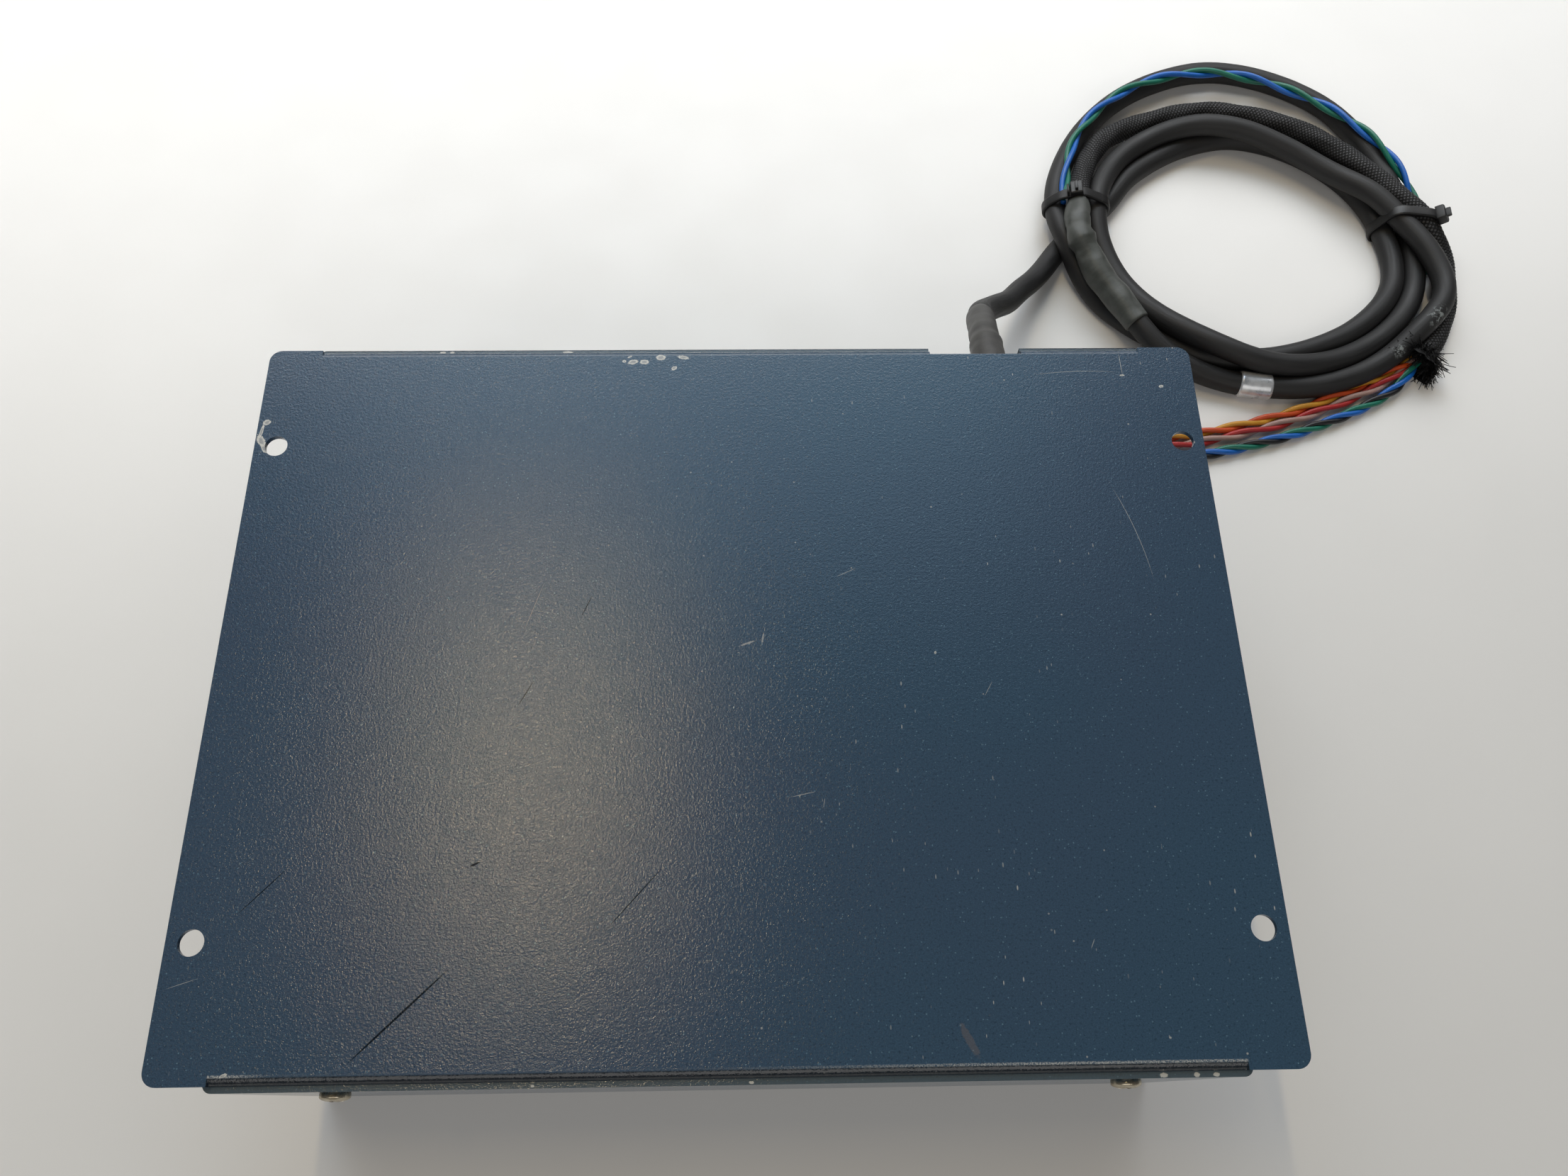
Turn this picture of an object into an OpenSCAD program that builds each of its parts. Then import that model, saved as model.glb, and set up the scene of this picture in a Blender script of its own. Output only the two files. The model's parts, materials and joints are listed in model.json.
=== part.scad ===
// Wall-mount servo drive, lying on its front cover with the mounting
// plate on top. Origin: centre of the drive's footprint, at the table surface.

/* [Enclosure] */
// Overall length of the mounting plate, across the ears
plate_w = 304.8; // [300:0.1:320]
// Depth of the mounting plate
plate_d = 225; // [225:0.5:232]
// Overall height from front cover to mounting face
drive_h = 100; // [100:1:110]
// Sheet metal thickness
sheet_t = 1.6; // [1.2:0.1:2]
// Outside width of the cover
cover_w = 275; // [272:1:278]
// Corner radius of the mounting ears
ear_r = 4; // [2:0.5:8]
// Outside radius of the folded flange edges
bend_r = 2.6; // [2.4:0.1:3.2]
// Depth of the folded flanges
flange_h = 24; // [22:1:26]

/* [Mounting holes] */
// Hole spacing across the ears
hole_dx = 291; // [288:0.5:292]
// Hole spacing along each ear
hole_dy = 153; // [120:1:180]
// Hole radius for quarter-inch bolts
hole_r = 3.57; // [3:0.01:4]

/* [Cable slot] */
// Middle of the slot along the far wall
slot_x = 80.9; // [78:0.1:84]
// Width of the slot
slot_w = 30.6; // [24:0.2:34]

/* [Cover screws] */
// Distance of each cover screw from the middle
screw_x = 106; // [100:1:112]
// Radius of a cover screw head
screw_head_r = 4.1; // [3.5:0.1:4.5]

/* [Boards] */
// Thickness of the circuit boards
board_t = 1.6; // [1:0.1:2]
// Height of the power board's lower face
power_z = 72; // [71:0.5:73]
// Height of the control board's lower face
control_z = 14; // [14:0.5:16]

/* [Fan] */
// Number of rotor blades
fan_blades = 7; // [5:1:9]

/* [Cable] */
// Diameter of the sheathed cable
cable_d = 9.5; // [8:0.5:10]
// Radius of the middle of the coil
coil_r = 69; // [67:1:70]
// Width of the coil's section
coil_w = 42; // [38:1:43]
// Height of the coil's section
coil_h = 28; // [24:1:28]

/* [Hidden] */
round_fn = 48;

plate_z = drive_h - sheet_t;
flange_z = drive_h - flange_h;
wall_y = plate_d / 2;
cover_d = plate_d + 2 * sheet_t;
cover_h = plate_z - 1;
wall_out = cover_w / 2;
wall_in = wall_out - sheet_t;
bend_w = cover_w - 2 * sheet_t - 1;
screw_z = drive_h - 12.5;
screw_head_t = 2.4;
screw_shank_r = 2.1;
slot_floor = 66;

power_top = power_z + board_t;
control_top = control_z + board_t;
sink_base = 6;
sink_z = plate_z - sink_base;
m4_r = 2;
m3_r = 1.5;

panel_t = 1.6;
panel_z = sheet_t + panel_t;
window_mid = [25, 20];
window_size = [110, 60];
led_xs = [-20, -12, -4, 4];
led_y = 38;
dip_at = [30, 38];
dip_pitch = 2.54;
address_at = [52, 38];
trimmer_xs = [-16, 0];
trimmer_y = 8;
reset_at = [26, 8];
port_at = [58, 10];
switch_z = 4.6;

fan_mid = [0, 60];
fan_w = 60;
fan_t = 25;
fan_bore_r = 28.5;
fan_x = -wall_in;

terminal_n = 11;
terminal_pitch = 7.62;
terminal_x = 3;
terminal_w = terminal_n * terminal_pitch;
terminal_h = 18;
terminal_face = wall_y + sheet_t - 0.6;

command_x = 10;
command_w = 39;
feedback_x = 64;
feedback_w = 25;
dsub_h = 8.4;
dsub_mid_z = control_top + 6.25;

// Stations of the heatsink studs, board standoffs and module screws
stud_at = [[-94, -72], [-94, 72], [-6, -72], [-6, 72]];
power_standoff_at = [[-38, -98], [122, -98], [-38, 88], [122, 98]];
control_standoff_at = [[-36, -40], [87, -40], [-36, 60], [87, 60]];
module_screw_at = [[-23, -51], [-23, -9]];
rectifier_screw_at = [[-26, 19]];
resistor_screw_at = [[-28, 44], [-28, 68]];
clamp_screw_at = [[77, 95], [103, 95]];
capacitor_at = [[20, -72], [58, -72], [96, -72]];

// Route of the sheathed cable from its clamp to the coil, drooping to the table
lead_route = [
    [90, 86, 82], [90, 102, 82], [90, 116, 81], [90, 130, 76],
    [91, 142, 69], [92, 152, 62], [96, 164, 52], [104, 175, 43],
    [112, 185, 34], [120, 197, 26], [129, 208, 19], [138, 217, 15],
    [142, 220, 14]
];
boot_first = 2;
boot_last = 5;
coil_mid = [228, 244];
coil_lift = 1.4;
tie_angles = [178, -4];
tie_w = 4.8;

// Routes of the three twisted pairs from the end of the cable to their tips
wire_route = [
    [289, 169, 4.5], [280, 162, 3], [267, 155, 2.2], [251, 148, 2.2],
    [232, 141, 2.2], [214, 136, 2.2], [196, 132, 2.2], [178, 129, 2.2],
    [164, 127, 2.2]
];
wire_r = 2.1;
wire_fan = [1.5, 4.2, 5, 5.2, 5.2, 5.2, 5.2, 5.2, 5.2];
pair_sides = [-1, 0.2, 1];
// Route of the braided sleeve's last stretch, outside the coil
sleeve_route = [
    [311, 226, 5.2], [311, 213, 5.2], [308, 199, 5.2], [300, 184, 5.2],
    [290, 170, 5.2]
];

// ---------- shared shapes ----------

module rounded(w, d, r) {
    square([w - 2 * r, d], center = true);
    square([w, d - 2 * r], center = true);
    for (x = [-1, 1], y = [-1, 1])
        translate([x * (w / 2 - r), y * (d / 2 - r)])
            circle(r, $fn = round_fn);
}

// Block from one corner to the opposite one
module block(low, high) {
    translate(low)
        cube(high - low);
}

// Upright post with its foot at p
module post(p, r, h, sides = round_fn) {
    translate(p)
        cylinder(r = r, h = h, $fn = sides);
}

// Screw whose head is at p and whose shank points along +Z
module screw_up(p, head_r, head_t, shank_r, length) {
    translate(p) {
        translate([0, 0, -head_t])
            cylinder(r = head_r, h = head_t, $fn = round_fn);
        cylinder(r = shank_r, h = length, $fn = round_fn);
    }
}

// Round bar along +Y
module bar_y(p, r, length, sides = round_fn) {
    translate(p)
        rotate([-90, 0, 0])
            cylinder(r = r, h = length, $fn = sides);
}

// Round bar along +X
module bar_x(p, r, length, sides = round_fn) {
    translate(p)
        rotate([0, 90, 0])
            cylinder(r = r, h = length, $fn = sides);
}

function unit(v) = v / norm(v);

function tangent(p, i) =
    unit(p[min(i + 1, len(p) - 1)] - p[max(i - 1, 0)]);

// Tube swept along a list of points, one ring of flat sides at each point
module tube(points, radii, sides) {
    n = len(points);
    rings = [
        for (i = [0 : n - 1])
            let (t = tangent(points, i),
                 a = unit(cross(t, [0, 0, 1])),
                 b = cross(t, a))
            for (k = [0 : sides - 1])
                points[i] + radii[i] * (cos(360 * k / sides) * a + sin(360 * k / sides) * b)
    ];
    skins = [
        for (i = [0 : n - 2], k = [0 : sides - 1])
            let (m = (k + 1) % sides)
            [(i + 1) * sides + k, (i + 1) * sides + m, i * sides + m, i * sides + k]
    ];
    first = [for (k = [0 : sides - 1]) k];
    last = [for (k = [sides - 1 : -1 : 0]) (n - 1) * sides + k];
    polyhedron(points = rings, faces = concat(skins, [first, last]), convexity = 6);
}

// ---------- enclosure ----------

module bend_section() {
    mid = [wall_y - bend_r, drive_h - bend_r];
    intersection() {
        translate(mid)
            difference() {
                circle(bend_r, $fn = round_fn);
                circle(bend_r - sheet_t, $fn = round_fn);
            }
        translate(mid)
            square([bend_r, bend_r]);
    }
    translate([wall_y - sheet_t, flange_z])
        square([sheet_t, flange_h - bend_r]);
}

module folded_flange() {
    translate([-bend_w / 2, 0, 0])
        rotate([90, 0, 90])
            linear_extrude(bend_w)
                bend_section();
}

module back_plate() color("#3d5468") difference() {
    union() {
        translate([0, 0, plate_z])
            linear_extrude(sheet_t)
                difference() {
                    rounded(plate_w, plate_d, ear_r);
                    for (s = [-1, 1])
                        translate([0, s * wall_y])
                            square([bend_w, 2 * bend_r], center = true);
                }
        folded_flange();
        mirror([0, 1, 0])
            folded_flange();
    }
    for (x = [-1, 1], y = [-1, 1])
        post([x * hole_dx / 2, y * hole_dy / 2, plate_z - 1], hole_r, sheet_t + 2);
    for (x = [-1, 1])
        bar_y([x * screw_x, -wall_y - 1, screw_z], screw_shank_r + 0.1, plate_d + 2);
    block([slot_x - slot_w / 2, wall_y - 2.2, slot_floor],
          [slot_x + slot_w / 2, wall_y + 2, drive_h + 1]);
}

// Row of upright slots in a wall, drawn flat: x along the wall, y up
module slot_row(xs, low, high, w) {
    for (x = xs)
        translate([x, (low + high) / 2])
            rounded(w, high - low, w / 2 - 0.01);
}

module fan_grille() {
    for (i = [-4 : 4])
        let (half = sqrt(pow(fan_bore_r - 2, 2) - pow(i * 5.6, 2)))
        translate([fan_mid[0] + i * 5.6, fan_mid[1]])
            rounded(3, 2 * half, 1.49);
}

module cover() color("#42596b") difference() {
    linear_extrude(cover_h)
        rounded(cover_w, cover_d, 2.5);
    translate([0, 0, sheet_t])
        linear_extrude(cover_h)
            rounded(cover_w - 2 * sheet_t, plate_d, 0.4);
    for (x = [-1, 1])
        bar_y([x * screw_x, -wall_y - 3, screw_z], screw_shank_r + 0.1, plate_d + 6);
    // Cable slot, open at the top edge
    translate([slot_x, wall_y + 4, slot_floor + 30])
        rotate([90, 0, 0])
            linear_extrude(8)
                rounded(slot_w, 60, 4);
    // Window for the recessed front panel
    translate([window_mid[0], window_mid[1], -1])
        linear_extrude(sheet_t + 2)
            rounded(window_size[0], window_size[1], 3);
    // Shallow seat for the label
    block([-118, -50, -1], [-48, 50, 0.3]);
    // Openings for the power terminals and the two signal connectors
    block([terminal_x - terminal_w / 2 - 0.6, wall_y - 2, power_z - terminal_h - 0.6],
          [terminal_x + terminal_w / 2 + 0.6, wall_y + 4, power_z + 0.6]);
    for (c = [[command_x, command_w], [feedback_x, feedback_w]])
        translate([c[0], wall_y + 4, dsub_mid_z])
            rotate([90, 0, 0])
                linear_extrude(8) {
                    rounded(c[1] + 1.2, dsub_h + 1.2, 2);
                    for (s = [-1, 1])
                        translate([s * (c[1] / 2 + 4.2), 0])
                            circle(3.1, $fn = round_fn);
                }
    // Vent slots in the right wall, and slots over the fan in the left wall
    translate([wall_in - 2, 0, 0])
        rotate([90, 0, 90])
            linear_extrude(6) {
                slot_row([-84 : 8 : 84], 22, 50, 3);
                slot_row([-84 : 8 : 84], 56, 84, 3);
            }
    translate([-wall_out - 2, 0, 0])
        rotate([90, 0, 90])
            linear_extrude(6) {
                fan_grille();
                slot_row([-92 : 8 : -44], 40, 80, 3);
                slot_row([44 : 8 : 92], 40, 80, 3);
                for (y = [-25, 25], z = [-25, 25])
                    translate([fan_mid[0] + y, fan_mid[1] + z])
                        circle(2.2, $fn = round_fn);
            }
}

// Pan head screw through a wall, with its head outside
module cover_screw(x) {
    bar_y([x, wall_y + sheet_t, screw_z], screw_head_r, screw_head_t);
    bar_y([x, wall_y - 8, screw_z], screw_shank_r, 8 + sheet_t);
}

module cover_screws() color("silver") {
    for (x = [-1, 1]) {
        cover_screw(x * screw_x);
        mirror([0, 1, 0])
            cover_screw(x * screw_x);
    }
}

module clinch_nuts() color("gainsboro")
    for (x = [-1, 1], s = [0, 1])
        mirror([0, s, 0])
            difference() {
                bar_y([x * screw_x, wall_y - sheet_t - 2.6, screw_z], 4.6, 2.6);
                bar_y([x * screw_x, wall_y - 9, screw_z], screw_shank_r, 9);
            }

module blank_label() color("lightgrey")
    block([-117.8, -49.8, 0], [-48.2, 49.8, 0.3]);

module front_panel() color("#2b2f33") difference() {
    translate([window_mid[0], window_mid[1], sheet_t])
        linear_extrude(panel_t)
            rounded(window_size[0] + 12, window_size[1] + 12, 3);
    for (x = led_xs)
        post([x, led_y, 0], 1.8, 6);
    translate([dip_at[0], dip_at[1], 3])
        cube([13, 6, 6], center = true);
    post([address_at[0], address_at[1], 0], 3.9, 6);
    for (x = trimmer_xs)
        post([x, trimmer_y, 0], 2.4, 6);
    post([reset_at[0], reset_at[1], 0], 2.4, 6);
    translate([port_at[0], port_at[1], 3])
        cube([16.6, 16.6, 8], center = true);
    for (x = [-48, 48], y = [-24, 24])
        post([window_mid[0] + x, window_mid[1] + y, 0], m3_r + 0.1, 6);
}

// Low head screws that hold the panel to its threaded pillars
module panel_screws() color("silver")
    for (x = [-48, 48], y = [-24, 24])
        screw_up([window_mid[0] + x, window_mid[1] + y, sheet_t], 2.6, 1.2, m3_r, 6);

// ---------- power stage ----------

module heatsink() color("#b9bdc1") difference() {
    union() {
        block([-100, -80, sink_z], [0, 80, plate_z]);
        for (i = [-5 : 5])
            block([-100, i * 8 - 1, 62], [-48, i * 8 + 1, sink_z]);
    }
    for (p = stud_at)
        post([p[0], p[1], sink_z - 1], m4_r + 0.2, sink_base + 2);
    for (p = concat(module_screw_at, rectifier_screw_at, resistor_screw_at))
        post([p[0], p[1], sink_z - 1], m4_r, 6);
}

module press_studs() color("silver")
    for (p = stud_at)
        post([p[0], p[1], sink_z - 6], m4_r, 6 + sink_base);

module stud_nuts() color("gainsboro")
    for (p = stud_at)
        difference() {
            post([p[0], p[1], sink_z - 3.2], 4, 3.2, 6);
            post([p[0], p[1], sink_z - 4], m4_r, 5);
        }

// Pins that stand between a module and the power board
module pin_row(xs, y, top) {
    for (x = xs)
        block([x - 0.5, y - 0.4, power_top], [x + 0.5, y + 0.4, top]);
}

module power_module() color("#2a2a2c") {
    difference() {
        block([-43, -55, sink_z - 12], [-3, -5, sink_z]);
        for (p = module_screw_at)
            post([p[0], p[1], sink_z - 13], m4_r + 0.2, 14);
    }
    for (y = [-46, -14])
        pin_row([-40 : 4 : -30], y, sink_z - 12);
    for (y = [-46, -14])
        pin_row([-16 : 4 : -6], y, sink_z - 12);
}

module bridge_rectifier() color("#333336") {
    difference() {
        block([-40, 5, sink_z - 10], [-12, 33, sink_z]);
        for (p = rectifier_screw_at)
            post([p[0], p[1], sink_z - 11], m4_r + 0.2, 12);
    }
    for (y = [8, 30])
        pin_row([-37, -15], y, sink_z - 10);
}

module brake_resistor() color("#c2a24a") {
    difference() {
        union() {
            block([-42, 48, sink_z - 14], [-14, 64, sink_z]);
            block([-33, 39, sink_z - 3], [-23, 73, sink_z]);
            for (i = [0 : 3])
                block([-42, 49.5 + i * 4, sink_z - 15.5], [-14, 51 + i * 4, sink_z - 14]);
        }
        for (p = resistor_screw_at)
            post([p[0], p[1], sink_z - 4], m4_r + 0.2, 5);
    }
    for (x = [-45, -14])
        block([x, 54.5, sink_z - 8], [x + 3, 57.5, sink_z - 5]);
}

module power_screws() color("silver") {
    for (p = module_screw_at)
        screw_up([p[0], p[1], sink_z - 12], 3.8, 2.6, m4_r, 16);
    for (p = rectifier_screw_at)
        screw_up([p[0], p[1], sink_z - 10], 3.8, 2.6, m4_r, 14);
    for (p = resistor_screw_at)
        screw_up([p[0], p[1], sink_z - 3], 3.4, 2.6, m4_r, 7);
    for (p = clamp_screw_at)
        screw_up([p[0], p[1], plate_z - 3], 3.8, 2.6, m4_r, 3);
}

module power_board() color("#2f6b3c") difference() {
    block([-44, -104, power_z], [128, 104, power_top]);
    for (p = concat(power_standoff_at, control_standoff_at))
        post([p[0], p[1], power_z - 1], m3_r + 0.1, board_t + 2);
}

module board_standoffs() color("#c9b458")
    for (p = power_standoff_at)
        difference() {
            post([p[0], p[1], power_top], 3.5, plate_z - power_top, 6);
            post([p[0], p[1], power_top - 1], m3_r, 9);
        }

module board_screws() color("silver") {
    for (p = power_standoff_at)
        screw_up([p[0], p[1], power_z], 2.9, 2.2, m3_r, 8);
    for (p = control_standoff_at)
        screw_up([p[0], p[1], control_z], 2.9, 2.2, m3_r, 8);
    for (p = control_standoff_at)
        translate([0, 0, 2 * power_top])
            mirror([0, 0, 1])
                screw_up([p[0], p[1], power_top], 2.9, 2.2, m3_r, 8);
}

module bus_capacitors() color("#26303a")
    for (p = capacitor_at) {
        post([p[0], p[1], power_z - 36], 15, 36);
        post([p[0], p[1], power_z - 38], 13.6, 2);
    }

module line_choke() color("#b5651d")
    translate([104, -20, power_z - 6.5])
        rotate_extrude($fn = round_fn)
            translate([13, 0])
                circle(6.5, $fn = 32);

module film_capacitors() color("#b8913a")
    for (y = [-38, -22])
        block([49, y - 5, power_z - 18], [75, y + 5, power_z]);

module control_transformer() color("#d8c648") {
    block([11, -32, power_z - 4], [37, -8, power_z]);
    block([14, -27, power_z - 20], [34, -13, power_z - 4]);
    block([11, -30, power_z - 18], [14, -10, power_z - 4]);
    block([34, -30, power_z - 18], [37, -10, power_z - 4]);
}

module inrush_relay() color("#1f3550")
    block([10, 8, power_z - 25], [39, 20.6, power_z]);

module line_fuse() color("#e8e6dc") {
    bar_x([54, 10, power_z - 9], 2.9, 24);
    bar_x([50, 10, power_z - 9], 3.2, 6);
    bar_x([76, 10, power_z - 9], 3.2, 6);
}

module fuse_clips() color("silver")
    for (x = [51, 77])
        difference() {
            block([x, 5.6, power_z - 13], [x + 4, 14.4, power_z]);
            bar_x([x - 1, 10, power_z - 9], 3.2, 6);
            block([x - 1, 7.8, power_z - 14], [x + 5, 12.2, power_z - 9]);
        }

module power_terminals() color("#2e7d4f") difference() {
    block([terminal_x - terminal_w / 2, wall_y - 17, power_z - terminal_h],
          [terminal_x + terminal_w / 2, terminal_face, power_z]);
    for (i = [0 : terminal_n - 1])
        let (x = terminal_x - terminal_w / 2 + (i + 0.5) * terminal_pitch) {
            block([x - 1.9, terminal_face - 8, power_z - 15.6],
                  [x + 1.9, terminal_face + 1, power_z - 12]);
            bar_y([x, terminal_face - 3, power_z - 6], 1.9, 4);
        }
}

module terminal_screws() color("silver")
    for (i = [0 : terminal_n - 1])
        let (x = terminal_x - terminal_w / 2 + (i + 0.5) * terminal_pitch)
        difference() {
            bar_y([x, terminal_face - 3, power_z - 6], 1.7, 2);
            block([x - 1.3, terminal_face - 1.8, power_z - 6.3],
                  [x + 1.3, terminal_face, power_z - 5.7]);
        }

// ---------- control stage ----------

module control_board() color("#256b47") difference() {
    block([-42, -46, control_z], [93, 104, control_top]);
    for (p = control_standoff_at)
        post([p[0], p[1], control_z - 1], m3_r + 0.1, board_t + 2);
}

module control_standoffs() color("#c9b458") {
    for (p = control_standoff_at)
        difference() {
            post([p[0], p[1], control_top], 3.2, power_z - control_top, 6);
            post([p[0], p[1], control_top - 1], m3_r, 8);
            post([p[0], p[1], power_z - 7], m3_r, 8);
        }
    // Pillars that carry the front panel
    for (x = [-48, 48], y = [-24, 24])
        difference() {
            post([window_mid[0] + x, window_mid[1] + y, panel_z], 3, control_z - panel_z, 6);
            post([window_mid[0] + x, window_mid[1] + y, panel_z - 1], m3_r, 6);
        }
}

module control_chips() color("#1c1c1e") {
    block([12, -24, control_top], [32, -4, control_top + 1.6]);
    for (x = [-24, 44, 62])
        block([x, -20, control_top], [x + 7.6, -2, control_top + 2.4]);
    for (x = [-20, 0, 50])
        block([x, 34, control_top], [x + 16, 42, control_top + 3.2]);
}

// Metal shell and flange of a signal connector
module connector_shell(x, w) {
    translate([x, 0, dsub_mid_z])
        rotate([-90, 0, 0])
            difference() {
                union() {
                    translate([0, 0, wall_y - 4.5])
                        linear_extrude(1)
                            rounded(w + 14, 12.5, 2);
                    translate([0, 0, wall_y - 4])
                        linear_extrude(5.2)
                            rounded(w, dsub_h, 1.5);
                }
                translate([0, 0, wall_y - 6])
                    linear_extrude(9)
                        rounded(w - 1, dsub_h - 1, 1.2);
                for (s = [-1, 1])
                    translate([s * (w / 2 + 4.2), 0, wall_y - 6])
                        cylinder(r = 1.5, h = 4, $fn = round_fn);
            }
}

module command_connector() color("gainsboro")
    connector_shell(command_x, command_w);

module feedback_connector() color("gainsboro")
    connector_shell(feedback_x, feedback_w);

// Insulators of both connectors, with their bodies on the control board
module connector_inserts() color("#18181a")
    for (c = [[command_x, command_w], [feedback_x, feedback_w]]) {
        block([c[0] - c[1] / 2 - 5, wall_y - 15, control_top],
              [c[0] + c[1] / 2 + 5, wall_y - 4.5, control_top + 12]);
        translate([c[0], wall_y - 4.5, dsub_mid_z])
            rotate([-90, 0, 0])
                linear_extrude(5.4)
                    rounded(c[1] - 1, dsub_h - 1, 1.2);
    }

module jack_posts() color("silver")
    for (c = [[command_x, command_w], [feedback_x, feedback_w]], s = [-1, 1]) {
        bar_y([c[0] + s * (c[1] / 2 + 4.2), wall_y - 3.5, dsub_mid_z], 2.7, 5.6, 6);
        bar_y([c[0] + s * (c[1] / 2 + 4.2), wall_y - 4.5, dsub_mid_z], 1.5, 1);
    }

module setup_port() color("#202022") difference() {
    block([port_at[0] - 8, port_at[1] - 8, 1.2],
          [port_at[0] + 8, port_at[1] + 8, control_z]);
    block([port_at[0] - 5.9, port_at[1] - 3.5, 0],
          [port_at[0] + 5.9, port_at[1] + 4.5, control_z - 2]);
    block([port_at[0] - 1.8, port_at[1] - 6, 0],
          [port_at[0] + 1.8, port_at[1] - 3, 9]);
}

module status_leds() color("lightgreen")
    for (x = led_xs) {
        post([x, led_y, 2.6], 1.5, control_z - 2.6);
        post([x, led_y, 5], 1.9, 1);
        translate([x, led_y, 2.6])
            sphere(1.5, $fn = 32);
    }

module dip_switch() color("#b02a2a") difference() {
    block([dip_at[0] - 6, dip_at[1] - 4.8, switch_z],
          [dip_at[0] + 6, dip_at[1] + 4.8, control_z]);
    for (i = [0 : 3])
        translate([dip_at[0] + (i - 1.5) * dip_pitch, dip_at[1], 0])
            block([-0.75, -2, 0], [0.75, 2, switch_z + 2.2]);
}

// Slide of one switch, in its lower position
module dip_lever(i) color("white")
    translate([dip_at[0] + (i - 1.5) * dip_pitch, dip_at[1], 0])
        block([-0.6, -1.9, switch_z - 1.2], [0.6, -0.5, switch_z + 2.1]);

module address_switch() color("#1d1d20") difference() {
    block([address_at[0] - 5, address_at[1] - 5, switch_z],
          [address_at[0] + 5, address_at[1] + 5, control_z]);
    post([address_at[0], address_at[1], switch_z - 1], 3.45, 5);
}

module address_dial() color("#d9772b") difference() {
    post([address_at[0], address_at[1], 3.2], 3.4, switch_z + 0.8);
    block([address_at[0] - 2.6, address_at[1] - 0.5, 2],
          [address_at[0] + 2.6, address_at[1] + 0.5, 4.2]);
    // Pointer notch at the rim
    block([address_at[0] - 0.4, address_at[1] + 2.2, 2],
          [address_at[0] + 0.4, address_at[1] + 4, 3.8]);
}

module trimmer_bodies() color("#2456a6")
    for (x = trimmer_xs)
        difference() {
            block([x - 4.7, trimmer_y - 4.7, switch_z],
                  [x + 4.7, trimmer_y + 4.7, control_z]);
            post([x, trimmer_y, switch_z - 1], 1.85, 5);
        }

module trimmer_screw(i) color("#d8c27a") difference() {
    post([trimmer_xs[i], trimmer_y, 3.6], 1.8, switch_z + 0.4);
    block([trimmer_xs[i] - 2, trimmer_y - 0.3, 3],
          [trimmer_xs[i] + 2, trimmer_y + 0.3, 4.5]);
}

module reset_switch() color("#2a2a2c") difference() {
    block([reset_at[0] - 3, reset_at[1] - 3, 9],
          [reset_at[0] + 3, reset_at[1] + 3, control_z]);
    post([reset_at[0], reset_at[1], 8], 1.8, 5);
}

module reset_button() color("#c8332b")
    post([reset_at[0], reset_at[1], 1.2], 1.75, 10.6);

module ribbon_cable() color("lightgrey")
    block([-36, 76.4, control_top + 6], [-14, 77.4, power_z - 6]);

module ribbon_headers() color("#2b2b30") {
    block([-39, 73, power_z - 6], [-11, 81, power_z]);
    block([-39, 73, control_top], [-11, 81, control_top + 6]);
}

// ---------- fan ----------

module fan_housing() color("#1b1b1d")
    translate([fan_x, fan_mid[0], fan_mid[1]])
        rotate([90, 0, 90])
            difference() {
                union() {
                    difference() {
                        linear_extrude(fan_t)
                            rounded(fan_w, fan_w, 4);
                        translate([0, 0, -1])
                            cylinder(r = fan_bore_r, h = fan_t + 2, $fn = 72);
                    }
                    translate([0, 0, fan_t - 2.4])
                        cylinder(r = 15, h = 2.4, $fn = round_fn);
                    for (a = [45 : 90 : 315])
                        rotate([0, 0, a])
                            translate([14, -2, fan_t - 2.4])
                                cube([15.2, 4, 2.4]);
                }
                translate([0, 0, fan_t - 4])
                    cylinder(r = 1.56, h = 6, $fn = round_fn);
                for (x = [-25, 25], y = [-25, 25])
                    translate([x, y, -1])
                        cylinder(r = 2.1, h = fan_t + 2, $fn = round_fn);
            }

module fan_rotor() color("#232326")
    translate([fan_x, fan_mid[0], fan_mid[1]])
        rotate([90, 0, 90]) {
            translate([0, 0, 2])
                cylinder(r = 14.5, h = 19.5, $fn = round_fn);
            translate([0, 0, 20])
                cylinder(r = 1.5, h = fan_t - 20, $fn = round_fn);
            for (i = [0 : fan_blades - 1])
                rotate([0, 0, i * 360 / fan_blades])
                    translate([13.6, 0, 11.5])
                        rotate([38, 0, 0])
                            translate([0, -8, -0.7])
                                cube([13.2, 16, 1.4]);
        }

module fan_screws() color("silver")
    for (y = [-25, 25], z = [-25, 25]) {
        bar_x([-wall_out - 2.2, fan_mid[0] + y, fan_mid[1] + z], 3.6, 2.2);
        bar_x([-wall_out, fan_mid[0] + y, fan_mid[1] + z], 2, 12);
    }

// ---------- cable ----------

module cable_clamp() color("#d9d6c8") difference() {
    union() {
        block([82, 90, 76], [98, 100, plate_z]);
        block([72, 90, plate_z - 3], [108, 100, plate_z]);
    }
    bar_y([90, 80, 82], cable_d / 2, 30);
    for (p = clamp_screw_at)
        post([p[0], p[1], plate_z - 4], m4_r, 6);
}

// Cores of the cable inside the case, with the header they plug into
module inner_leads() color("#6d7378") {
    route = [
        [90, 86, 82], [90, 80, 82], [86, 72, 84], [79, 65, 86],
        [72, 60, 85.5], [66, 56, 82], [65, 55, 80]
    ];
    tube(route, [for (p = route) 2.6], 8);
    block([55, 51, power_top], [75, 59, power_top + 7.6]);
}

module cable_lead() color("#26282a")
    tube(lead_route, [for (p = lead_route) cable_d / 2], 12);

// Shrink sleeve over the cable where it leaves the case
module cable_boot() color("#4d4f50") {
    part = [for (i = [boot_first : boot_last]) lead_route[i]];
    tube(part, [for (i = [0 : len(part) - 1]) cable_d / 2 + 1.1 - 0.1 * i], 12);
}

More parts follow.
